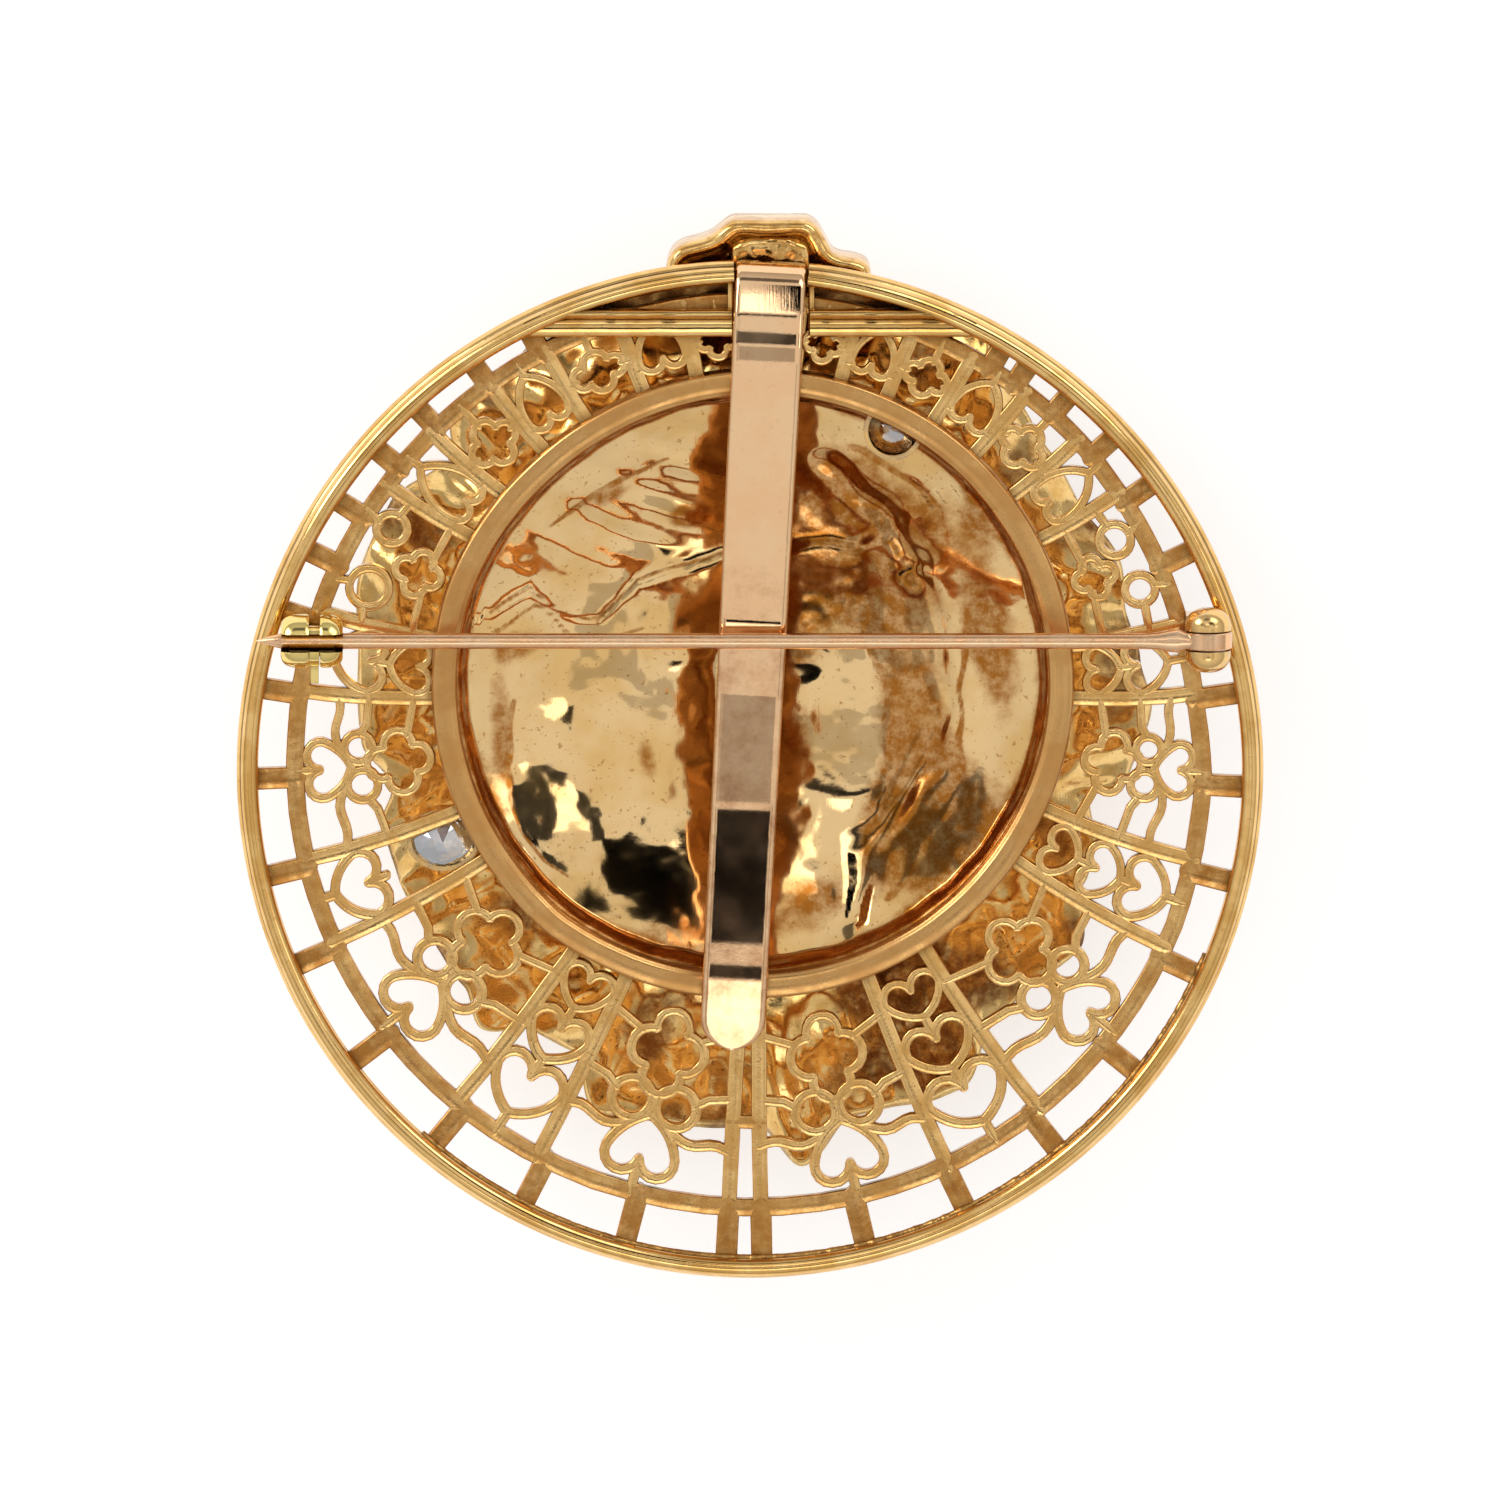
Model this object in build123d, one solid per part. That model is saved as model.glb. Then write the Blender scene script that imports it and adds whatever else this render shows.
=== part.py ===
from build123d import *
import cmath
import math
import os

# A round gold brooch, lying on its front with its back up: +Z is towards the wearer, +Y is the brooch's top.
# All lengths are in millimetres, and angles round the gallery are in degrees.

# Rim and chord
rim_radius = 25.7
rim_wire = 1.1
chord_wire = 0.76
chord_drop = 3.1

# Levels above the surface that the front rests on
gallery_level = 9.2
sheet_thickness = 0.8

# Inner ring, whose centre stands above the rim's centre and a little to the right
ring_radius = 15.8
ring_width = 1.25
ring_rise = 4.45
ring_shift = 0.45

# Struts of the pierced gallery
strut = 0.62
middle_ring_share = 0.819

# Relief
shell_thickness = 0.5
hair_gap = 0.25
crest_reach = 1.85
crest_width = 10.4
crest_depth = 4.6
crest_floor = 0.6

# Clip
clip_width = 3.3
clip_thickness = 0.8
clip_length = 38.8
clip_lean = 2.3
clip_bend = 2.0
mount_height = 3.5
cheek_thickness = 0.32

# Pin, hinge and catch
pin_height = 6.9
pin_diameter = 0.84
hinge_inset = 2.85
knuckle_radius = 1.15
catch_inset = 3.85
catch_radius = 1.27
catch_length = 3.1
catch_rounding = 0.42
pin_tip = 1.25
pin_taper = 0.78
shoulder_width = 0.95
shoulder_height = 0.8

# Stones, each with its direction from the inner ring's centre, distance outside the ring, length and width
stone_left = (206.7, 1.88, 3.1, 2.55)
stone_right = (61.9, -1.57, 2.4, 2.4)
collet_wall = 0.28

# Small clearances
gap = 0.06

# Worked-out levels
sheet_top = gallery_level + sheet_thickness
front_wire_z = gallery_level + 0.15
back_wire_z = front_wire_z + 0.86 * rim_wire
front_wire_radius = rim_radius - rim_wire / 2
back_wire_radius = front_wire_radius - 0.32 * rim_wire
rim_inner = back_wire_radius - rim_wire / 2
ring_top = sheet_top + 0.6
ring_bottom = gallery_level - 0.3
ring_hole = ring_radius - ring_width
clip_z = ring_top + 0.35 + clip_thickness / 2
pin_z = clip_z + clip_thickness / 2 + 0.25 + pin_diameter / 2
crest_top = gallery_level - 0.5
chord_height = rim_radius - chord_drop
crest_low = chord_height + 0.15
lip_top = ring_top - 0.9
bowl_edge = ring_bottom + 0.15
bowl_depth = bowl_edge - shell_thickness
left_girdle = sheet_top - 1.65
right_girdle = ring_bottom - 1.75
hinge_x = rim_radius - hinge_inset
catch_x = catch_inset - rim_radius
rivet_radius = 0.26
hinge_z = pin_z - 0.5 * pin_diameter
eye_radius = knuckle_radius + 0.06
eye_thickness = pin_diameter * 1.05
bore_radius = catch_radius - 0.45
mouth = pin_diameter * 0.87 + 0.1
lever_slot = 0.56
lever_x = catch_x + 0.14

# The crest stands past the rim, so the rim's centre lies below the middle of the whole outline
rim_y = -crest_reach / 2
clip_x = 0.036 * rim_radius
slot_width = clip_width + 0.4


def placed(shape):
    """Move a shape from the rim's centre to the origin of the whole brooch."""
    return Pos(0, rim_y, 0) * shape


def upright(radius, height, bottom, x=0.0, y=0.0):
    """A cylinder along Z that stands on a level."""
    return Pos(x, y, bottom + height / 2) * Cylinder(radius, height)


def slab(x0, x1, y0, y1, z0, z1):
    """A box from its two corners."""
    return Pos((x0 + x1) / 2, (y0 + y1) / 2, (z0 + z1) / 2) * Box(x1 - x0, y1 - y0, z1 - z0)


# Fan layout of the gallery
# The rim and the inner ring belong to one family of circles. A map that turns them into circles with one
# centre lays the spokes and motifs out evenly, and makes them small at the top and large at the bottom.

ring_offset = math.hypot(ring_shift, ring_rise)
axis_angle = math.atan2(ring_rise, ring_shift)
radical = (ring_offset ** 2 + rim_inner ** 2 - ring_radius ** 2) / (2 * ring_offset)
spread = math.sqrt(radical ** 2 - rim_inner ** 2)
near_point = radical - spread
far_point = radical + spread
ring_level = (near_point + ring_radius - ring_offset) / (far_point + ring_radius - ring_offset)
rim_level = (near_point + rim_inner) / (far_point + rim_inner)
fan_height = math.degrees(math.log(rim_level / ring_level))
middle_rise = middle_ring_share * fan_height


def fan_point(turn, rise):
    """Place of a fan angle (0 at the bottom, rising to the right) and a rise (0 at the inner ring)."""
    level = ring_level * math.exp(math.radians(rise))
    w = cmath.rect(level, math.radians(turn))
    z = (near_point - far_point * w) / (1 - w)
    z *= cmath.rect(1, axis_angle)
    return (z.real, z.imag)


def fan_scale(turn, rise):
    """Millimetres for one degree of the fan, at one place."""
    x0, y0 = fan_point(turn - 0.5, rise)
    x1, y1 = fan_point(turn + 0.5, rise)
    return math.hypot(x1 - x0, y1 - y0)


def fan_arc(first, middle, last):
    """An arc through three places of the fan."""
    return ThreePointArc(fan_point(*first), fan_point(*middle), fan_point(*last))


def fan_line(first, last):
    """A straight edge between two places of the fan."""
    return Line(fan_point(*first), fan_point(*last))


# Openings of the gallery, each a closed outline in fan degrees


def cell(turn0, turn1, rise0, rise1):
    """A cell between two spokes, with its inner and outer sides on the circles of the fan."""
    mid = (turn0 + turn1) / 2
    return [
        fan_arc((turn0, rise0), (mid, rise0), (turn1, rise0)),
        fan_line((turn1, rise0), (turn1, rise1)),
        fan_arc((turn1, rise1), (mid, rise1), (turn0, rise1)),
        fan_line((turn0, rise1), (turn0, rise0)),
    ]


def round_hole(turn, rise, radius):
    """A round opening."""
    left, right = (turn - radius, rise), (turn + radius, rise)
    return [fan_arc(left, (turn, rise + radius), right), fan_arc(right, (turn, rise - radius), left)]


def quatrefoil(turn, rise, reach):
    """Four lobes that meet in four cusps."""
    cusp = 0.37 * reach
    corners = [(-cusp, -cusp), (cusp, -cusp), (cusp, cusp), (-cusp, cusp)]
    tips = [(0, -reach), (reach, 0), (0, reach), (-reach, 0)]
    edges = []
    for index, tip in enumerate(tips):
        start = corners[index]
        end = corners[(index + 1) % 4]
        edges.append(fan_arc(*[(turn + a, rise + b) for a, b in (start, tip, end)]))
    return edges


def heart(turn, point_rise, lobe_rise, half_width):
    """A heart from its point to its lobes; the lobes may lie inward or outward of the point."""
    back = math.copysign(half_width, point_rise - lobe_rise)
    cleft = (turn, lobe_rise + 0.42 * back)
    edges = []
    for side in (-1, 1):
        outer = (turn + side * half_width, lobe_rise + 0.55 * back)
        flank = (turn + side * 0.6 * half_width, point_rise + 0.36 * (outer[1] - point_rise))
        edges.append(fan_arc((turn, point_rise), flank, outer))
        edges.append(fan_arc(outer, (turn + side * 0.5 * half_width, lobe_rise), cleft))
    return edges


# The sectors of the gallery, in order from the seam at the bottom up each side. "rosette" holds a quatrefoil
# over two rings and a heart, "pair" a quatrefoil over two rings, "cross" a quatrefoil alone, and the rest 1 to
# 3 hearts.
# columns: kind, fan angle where the sector ends
right_sectors = [
    ("rosette", 16.5), ("hearts 3", 24.1), ("rosette", 40.5), ("hearts 3", 48.9), ("rosette", 67.1),
    ("hearts 2", 76.3), ("pair", 98.3), ("hearts 1", 110.0), ("cross", 123.6), ("hearts 1", 137.2),
    ("cross", 151.7), ("hearts 1", 165.5), ("cross", 179.0),
]
left_sectors = [
    ("rosette", -11.6), ("hearts 3", -18.3), ("rosette", -33.4), ("stone", -40.6), ("rosette", -57.0),
    ("hearts 2", -66.1), ("pair", -85.2), ("hearts 1", -95.9), ("cross", -109.0), ("hearts 1", -121.4),
    ("cross", -137.9), ("hearts 1", -153.0),
]
seam_right = 3.6
seam_left = 1.5
right_rungs = [9.8, 16.3, 23.3, 30.9, 39.5, 47.7, 56.6, 66.4, 74.2, 84.9, 96.4, 106.1, 116.9, 126.5, 134.5]
left_rungs = [-4.5, -11.0, -17.6, -25.1, -32.9, -40.0, -48.2, -56.6, -64.9, -72.3, -79.5, -88.3, -96.9,
              -108.6, -120.3]


def rosette_openings(turn, half):
    """Quatrefoil, two rings and a heart, with the cells that the CAD sheet leaves open beside them."""
    top_bar, ring_bar, foot_bar, pad = [share * fan_height for share in (0.17, 0.47, 0.66, 0.04)]
    foot = middle_rise - 0.5 * strut / fan_scale(turn, middle_rise)
    holes = [
        quatrefoil(turn, 0.285 * fan_height, 0.145 * fan_height),
        round_hole(turn - 0.08 * fan_height, 0.508 * fan_height, 0.053 * fan_height),
        round_hole(turn + 0.08 * fan_height, 0.508 * fan_height, 0.053 * fan_height),
        heart(turn, 0.572 * fan_height, 0.75 * fan_height, 0.095 * fan_height),
    ]
    border = 0.5 * strut / fan_scale(turn, 0)
    holes.append(cell(turn - half, turn + half, border, 0.1 * fan_height))
    for side in (-1, 1):
        inner, outer = sorted((turn + side * 0.72 * half, turn + side * half))
        holes.append(cell(inner, outer, top_bar + pad, ring_bar - pad))
        inner, outer = sorted((turn + side * 0.56 * half, turn + side * half))
        holes.append(cell(inner, outer, foot_bar + pad, foot))
    return holes


def heart_openings(turn, half, count):
    """A chain of hearts, each with its point outward."""
    rise, holes = 0.06 * fan_height, []
    step = (middle_rise - rise) / count
    for index in range(count):
        lobes = rise + step * (index + 0.1)
        holes.append(heart(turn, lobes + 0.8 * step, lobes, 0.76 * min(half, step)))
    return holes


def sector_openings(kind, turn0, turn1):
    """The openings of one sector between the middles of its two spokes."""
    turn = (turn0 + turn1) / 2
    edge = 0.5 * strut / fan_scale(turn, 0.3 * fan_height)
    half = (turn1 - turn0) / 2 - edge
    if kind == "rosette":
        return rosette_openings(turn, half)
    if kind == "pair":
        rings = [round_hole(turn + side * 0.2 * fan_height, 0.58 * fan_height, 0.08 * fan_height)
                 for side in (-1, 1)]
        return [quatrefoil(turn, 0.26 * fan_height, 0.15 * fan_height)] + rings
    if kind == "cross":
        return [quatrefoil(turn, 0.42 * fan_height, 0.17 * fan_height)]
    if kind == "stone":
        return heart_openings(turn, half, 3)[1:]
    return heart_openings(turn, half, int(kind.split()[1]))


def ladder_openings(rungs, first):
    """The plain cells of the outer band, between one rung and the next."""
    low = middle_rise + 0.5 * strut / fan_scale(first, middle_rise)
    high = fan_height - 0.35 * strut / fan_scale(first, fan_height)
    holes = []
    for turn0, turn1 in zip([first] + rungs, rungs):
        turn0, turn1 = sorted((turn0, turn1))
        edge = 0.5 * strut / fan_scale((turn0 + turn1) / 2, fan_height)
        holes.append(cell(turn0 + edge, turn1 - edge, low, high))
    return holes


def seam_openings():
    """The two slits between the double spokes at the bottom."""
    turn = (seam_left + seam_right) / 2
    return [
        cell(turn - 0.45, turn + 0.45, 0.22 * fan_height, 0.5 * fan_height),
        cell(turn - 0.45, turn + 0.45, 0.58 * fan_height, 0.97 * fan_height),
    ]


def gallery_openings():
    """Every opening of the sheet."""
    holes = seam_openings()
    sides = ((right_sectors, right_rungs, seam_right), (left_sectors, left_rungs, seam_left))
    for sectors, rungs, seam in sides:
        holes += ladder_openings(rungs, seam)
        start = seam
        for kind, end in sectors:
            holes += sector_openings(kind, *sorted((start, end)))
            start = end
    return holes


def stone_place(stone):
    """Where a stone stands, from its direction and distance."""
    turn, distance = math.radians(stone[0]), ring_radius + stone[1]
    return (ring_shift + distance * math.cos(turn), ring_rise + distance * math.sin(turn))


def oval(stone, grow, bottom, top):
    """An upright oval post round a stone's place, larger than the stone by the given amount."""
    x, y = stone_place(stone)
    length, width = stone[2:]
    return Pos(x, y, bottom) * extrude(Ellipse(length / 2 + grow, width / 2 + grow), top - bottom)


def make_gallery():
    """The flat pierced sheet."""
    outer = Wire.make_circle(rim_inner - gap)
    holes = [Wire.make_circle(ring_radius + gap, Plane((ring_shift, ring_rise, 0)))]
    holes += [Wire([curve.edge() for curve in outline]) for outline in gallery_openings()]
    sheet = Pos(0, 0, gallery_level) * Solid.extrude(Face(outer, holes), Vector(0, 0, sheet_thickness))
    sheet -= oval(stone_left, collet_wall + gap, gallery_level - 1, sheet_top + 1)
    return sheet - slab(clip_x - slot_width / 2 - 0.4, clip_x + slot_width / 2 + 0.4, chord_height - 0.9,
                        rim_radius, gallery_level - 1, sheet_top + 1)


def make_outer_rim():
    """Two stacked wires, the double chord across the top, and the cheeks of the clip's slot."""
    frame = Pos(0, 0, front_wire_z) * Torus(front_wire_radius, rim_wire / 2)
    frame += Pos(0, 0, back_wire_z) * Torus(back_wire_radius, rim_wire / 2)
    chord_z = sheet_top + gap + chord_wire / 2
    for side in (-1, 1):
        y = chord_height + side * 0.46 * chord_wire
        reach = math.sqrt(back_wire_radius ** 2 - y ** 2)
        frame += Pos(0, y, chord_z) * Rot(0, 90, 0) * Cylinder(chord_wire / 2, 2 * reach)
    x0, x1 = clip_x - slot_width / 2, clip_x + slot_width / 2
    frame -= slab(x0, x1, chord_height - 2, rim_radius + 1, gallery_level - 2, ring_top + 2)
    for edge in (x0 - cheek_thickness, x1):
        frame += slab(edge, edge + cheek_thickness, chord_height - 0.85, back_wire_radius + 0.35,
                      front_wire_z - 0.3, chord_z + 0.42)
    return frame


def make_inner_ring():
    height = ring_top - ring_bottom
    ring = upright(ring_radius, height, ring_bottom, ring_shift, ring_rise)
    ring -= upright(ring_hole, height * 3, ring_bottom - height, ring_shift, ring_rise)
    return chamfer(ring.edges().group_by(Axis.Z)[-1], 0.14)


# Relief, described by the level of its back at each place round the ring's centre


def smooth(low, high, value):
    """0 below low, 1 above high, with soft ends."""
    share = min(1.0, max(0.0, (value - low) / (high - low)))
    return share * share * (3 - 2 * share)


def mound(x, y, cx, cy, rx, ry):
    """A soft round mound of height 1."""
    return math.exp(-((x - cx) / rx) ** 2 - ((y - cy) / ry) ** 2)


def head_drop(x, y):
    """How far the head's hollow lies under the ring, at one place in the bowl."""
    radius = ring_hole - gap
    share = math.hypot(x, y) / radius
    drop = 0.76 * (1 - share ** 10)
    face = math.hypot((x + 0.8) / 6.4, (y + 1.9) / 8.2)
    drop += 0.12 * math.exp(-((face - 1.32) / 0.32) ** 2)
    drop += 0.08 * mound(face, 0, 0, 0, 0.8, 1)
    drop += 0.16 * mound(x, y, -0.8, -1.4, 0.75, 2.3) + 0.10 * mound(x, y, -0.8, -3.2, 1.1, 0.8)
    drop -= 0.07 * (mound(x, y, -3.2, 0.4, 1.4, 0.8) + mound(x, y, 1.6, 0.4, 1.4, 0.8))
    drop += 0.05 * mound(x, y, -0.8, -5.2, 1.7, 0.5) + 0.07 * mound(x, y, -0.8, -8.4, 1.9, 1.2)
    drop += 0.14 * smooth(5.2, 6.4, y - 0.12 * x)
    drop *= 1 - smooth(0.80, 1.0, share)
    return bowl_depth * min(1.0, drop)


# columns: direction from the ring's centre, reach of the sheet as a share of the rim's radius
hair_outline = [
    (-90, 0.899), (-85, 0.975), (-78, 0.895), (-64, 0.911), (-57, 0.838), (-50, 0.817), (-41, 0.830),
    (-33, 0.759), (-28, 0.743), (-21, 0.695), (-16, 0.752), (-5, 0.770), (2, 0.745), (10, 0.726), (17, 0.739),
    (28, 0.708), (38, 0.714), (48, 0.737), (58, 0.740), (68, 0.700), (90, 0.695), (112, 0.700), (122, 0.745),
    (133, 0.770), (140, 0.781), (145, 0.735), (155, 0.794), (166, 0.804), (178, 0.783), (190, 0.788),
    (197, 0.751), (203, 0.802), (216, 0.822), (227, 0.847), (232, 0.887), (238, 0.830), (244, 0.833),
    (250, 0.930), (256, 0.913), (263, 0.906), (270, 0.899),
]


def hair_reach(angle):
    """Distance from the ring's centre to the edge of the hair, in one direction."""
    angle = (angle + 90) % 360 - 90
    for (a0, r0), (a1, r1) in zip(hair_outline, hair_outline[1:]):
        if a0 <= angle <= a1:
            return rim_radius * (r0 + (r1 - r0) * smooth(a0, a1, angle))
    return rim_radius * hair_outline[0][1]


def hair_level(angle, share):
    """Level of the back of the hair at a direction and a share of the way to its edge."""
    lock = math.sin(math.radians(angle * 13)) + 0.5 * math.sin(math.radians(angle * 29 + 40))
    return ring_bottom - 0.7 - 2.6 * share ** 1.4 - 0.45 * lock * share


def shell_from_grid(points, closed_middle):
    """A thin solid from a round grid of points, rows from the middle outward, thickened to the front."""
    rows, count = len(points), len(points[0])

    def offset(row, col):
        before, after = points[row][(col - 1) % count], points[row][(col + 1) % count]
        inward = points[row - 1][col] if row > 0 else points[row][col]
        outward = points[row + 1][col] if row < rows - 1 else points[row][col]
        if closed_middle and row == 0:
            return points[row][col] - Vector(0, 0, shell_thickness)
        normal = (outward - inward).cross(after - before).normalized()
        return points[row][col] - normal * shell_thickness

    fronts = [[offset(row, col) for col in range(count)] for row in range(rows)]
    faces = []

    def facet(*corners):
        faces.append(Face(Wire.make_polygon(list(corners), close=True)))

    def skin(grid, flip):
        start = 1 if closed_middle else 0
        for col in range(count):
            nxt = (col + 1) % count
            if closed_middle:
                tip = [grid[0][0], grid[1][col], grid[1][nxt]]
                facet(*(tip[::-1] if flip else tip))
            for row in range(start, rows - 1):
                a, b = grid[row][col], grid[row + 1][col]
                c, d = grid[row + 1][nxt], grid[row][nxt]
                for corners in ([a, b, c], [a, c, d]):
                    facet(*(corners[::-1] if flip else corners))

    skin(points, False)
    skin(fronts, True)
    for col in range(count):
        nxt = (col + 1) % count
        ends = [(rows - 1, False)] if closed_middle else [(rows - 1, False), (0, True)]
        for row, flip in ends:
            p, q = points[row][col], points[row][nxt]
            r, s = fronts[row][nxt], fronts[row][col]
            for corners in ([p, s, r], [p, r, q]):
                facet(*(corners[::-1] if flip else corners))
    return Solid(Shell(faces))


def make_head_shell():
    columns, rows = 60, 20
    radius = ring_hole - gap - shell_thickness
    grid = []
    for row in range(rows + 1):
        share = math.sin(0.5 * math.pi * row / rows) if row else 0.0
        ring = []
        for col in range(columns):
            angle = 2 * math.pi * col / columns
            x, y = radius * share * math.cos(angle), radius * share * math.sin(angle)
            z = bowl_edge - head_drop(x, y)
            ring.append(Vector(ring_shift + x, ring_rise + y, z))
        grid.append(ring)
    lip = [Vector(p.X, p.Y, lip_top) for p in grid[-1]]
    shell = shell_from_grid(grid + [lip], True)
    return shell - oval(stone_right, collet_wall + 2 * gap, bowl_edge / 2, bowl_edge - gap)


def make_hair_frame():
    columns, rows = 120, 6
    start = ring_hole + hair_gap
    grid = []
    for row in range(rows + 1):
        share = row / rows
        ring = []
        for col in range(columns):
            angle = 360 * col / columns
            distance = start + (hair_reach(angle) - start) * share
            x = ring_shift + distance * math.cos(math.radians(angle))
            y = ring_rise + distance * math.sin(math.radians(angle))
            ring.append(Vector(x, y, hair_level(angle, share)))
        grid.append(ring)
    sheet = shell_from_grid(grid, False)
    for stone in (stone_left, stone_right):
        sheet -= oval(stone, collet_wall + 2 * gap, 0, sheet_top)
    return sheet


# columns: share of the crest's half width from the clip's middle, share of its height above its lower edge
crest_profile = [
    (-1.0, 0.0), (-1.0, 0.44), (-0.9, 0.68), (-0.66, 0.76), (-0.45, 0.95), (-0.32, 1.0), (0.35, 1.0),
    (0.5, 0.84), (0.57, 0.57), (0.93, 0.53), (1.0, 0.4), (1.0, 0.0),
]


def make_crest():
    """A flat-topped crest with broad steps beside it, hollow from the back."""
    reach = rim_radius + crest_reach - crest_low
    corners = [(clip_x + x * crest_width / 2, crest_low + y * reach) for x, y in crest_profile]
    plan = make_face(Polyline(*corners, close=True))
    bottom = crest_top - crest_depth
    hollow = offset(plan, -shell_thickness, kind=Kind.INTERSECTION)
    tray = extrude(plan, crest_depth) - Pos(0, 0, crest_floor) * extrude(hollow, crest_depth)
    return Pos(0, 0, bottom) * tray


def make_clip_mount():
    """The block in the crest that the clip's strip stands on."""
    y0 = crest_low + shell_thickness + gap
    top = crest_top - 0.1
    x0, x1 = clip_x - clip_width / 2, clip_x + clip_width / 2
    return slab(x0, x1, y0, y0 + clip_width, top - mount_height, top)


def make_spring_tongue():
    """A flat strip that rises from its mount, bends over the rim and runs down the back."""
    back, bend, half, side = rim_radius - 0.5, clip_bend, clip_thickness / 2, clip_width / 2
    end = back - clip_length
    leg = slab(-side, side, back - half, back + half, crest_top - 0.1 + gap, clip_z - bend)
    corner = Pos(0, back - bend, clip_z - bend) * Rot(0, 90, 0)
    turn = corner * (Cylinder(bend + half, clip_width) - Cylinder(bend - half, 2 * clip_width))
    turn &= slab(-clip_width, clip_width, back - bend, back + bend, clip_z - bend, clip_z + bend)
    flat = slab(-side, side, end + side, back - bend, clip_z - half, clip_z + half)
    nose = upright(side, clip_thickness, clip_z - half, 0, end + side)
    return Pos(clip_x, back, 0) * Rot(0, 0, -clip_lean) * Pos(0, -back, 0) * (leg + turn + flat + nose)


def make_hinge_block():
    """A foot with two domed knuckles, split for the pin's eye."""
    across = Pos(hinge_x, pin_height, hinge_z) * Rot(90, 0, 0)
    block = across * fillet(Cylinder(knuckle_radius, 2.8 * knuckle_radius).edges(), 0.8 * knuckle_radius)
    block += slab(hinge_x - knuckle_radius + 0.05, hinge_x - 0.25, pin_height - 1.2, pin_height + 1.2,
                  sheet_top + gap, hinge_z)
    half = eye_thickness / 2 + gap
    y0, y1 = pin_height - half, pin_height + half
    block -= slab(hinge_x - 4, hinge_x + 4, y0, y1, sheet_top + 0.31, hinge_z + 4)
    return block - across * Cylinder(rivet_radius + 0.02, 8 * knuckle_radius)


def make_hinge_rivet():
    """The rivet through both knuckles and the eye."""
    return Pos(hinge_x, pin_height, hinge_z) * Rot(90, 0, 0) * Cylinder(rivet_radius, 2.8 * knuckle_radius)


def make_pin_stem():
    """A round stem with a point, a four-sided shoulder and a flat round eye."""
    eye = Pos(hinge_x, pin_height, hinge_z) * Rot(90, 0, 0) * Cylinder(eye_radius, eye_thickness)
    catch_end = catch_x - catch_length / 2
    radius = pin_diameter / 2
    end_radius = pin_taper * radius
    stem_start, stem_end = hinge_x - 0.6 * eye_radius, catch_end
    stem = Cone(radius, end_radius, stem_start - stem_end)
    stem = Pos((stem_start + stem_end) / 2, pin_height, pin_z) * Rot(0, -90, 0) * stem
    point = Pos(stem_end - pin_tip / 2, pin_height, pin_z) * Rot(0, -90, 0) * Cone(end_radius, 0.05, pin_tip)
    shoulder_x = hinge_x - knuckle_radius - 0.55
    shoulder = Box(shoulder_width, shoulder_width, shoulder_height)
    shoulder = Pos(shoulder_x, pin_height, pin_z - 0.04) * Rot(0, 0, 45) * shoulder
    bore = Rot(90, 0, 0) * Cylinder(rivet_radius + 0.03, 8 * knuckle_radius)
    return eye + stem + point + shoulder - Pos(hinge_x, pin_height, hinge_z) * bore


def along_pin(radius, length, x):
    """A cylinder along the pin, centred at x."""
    return Pos(x, pin_height, pin_z) * Rot(0, 90, 0) * Cylinder(radius, length)


def pin_mouth():
    """The space above the pin that lets it out of the catch."""
    half = mouth / 2
    return slab(catch_x - 2, catch_x + 2, pin_height - half, pin_height + half, pin_z, pin_z + 4)


def make_catch_housing():
    """A ball with flat ends and a foot, bored for the rotor and open upward for the pin."""
    y0, y1 = pin_height - 0.55, pin_height + 0.55
    ball = along_pin(catch_radius, catch_length, catch_x)
    ball = fillet(ball.edges(), catch_rounding)
    ball += slab(catch_x - 1.05, catch_x + 1.2, y0, y1, sheet_top + gap, pin_z - 1.0)
    ball -= along_pin(bore_radius, catch_length - 0.7, catch_x)
    ball -= pin_mouth()
    ball -= along_pin(mouth / 2, catch_length * 2, catch_x)
    trough = slab(lever_x - lever_slot / 2, lever_x + lever_slot / 2, pin_height - 3, pin_height + 3,
                  pin_z - 0.62, pin_z + 3)
    return ball - trough


def make_catch_rotor():
    """A slotted sleeve round the pin with a flush band and a thumb lever."""
    sleeve = along_pin(bore_radius - 0.05, catch_length - 0.84, catch_x)
    band = along_pin(catch_radius - 0.02, lever_slot - 0.08, lever_x)
    band &= slab(lever_x - 1, lever_x + 1, pin_height - 3, pin_height, pin_z - 0.42, pin_z + 3)
    reach = catch_radius + 0.85
    lever = slab(lever_x - 0.2, lever_x + 0.2, pin_height - reach, pin_height - 0.7, pin_z - 0.4, pin_z + 0.05)
    rotor = sleeve + band + lever
    rotor -= along_pin(mouth / 2 - 0.01, catch_length * 2, catch_x)
    return rotor - pin_mouth()


def make_collet(stone, bottom, top):
    """A plain tube round a stone."""
    return oval(stone, collet_wall, bottom, top) - oval(stone, 0.04, bottom - 1, top + 1)


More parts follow.
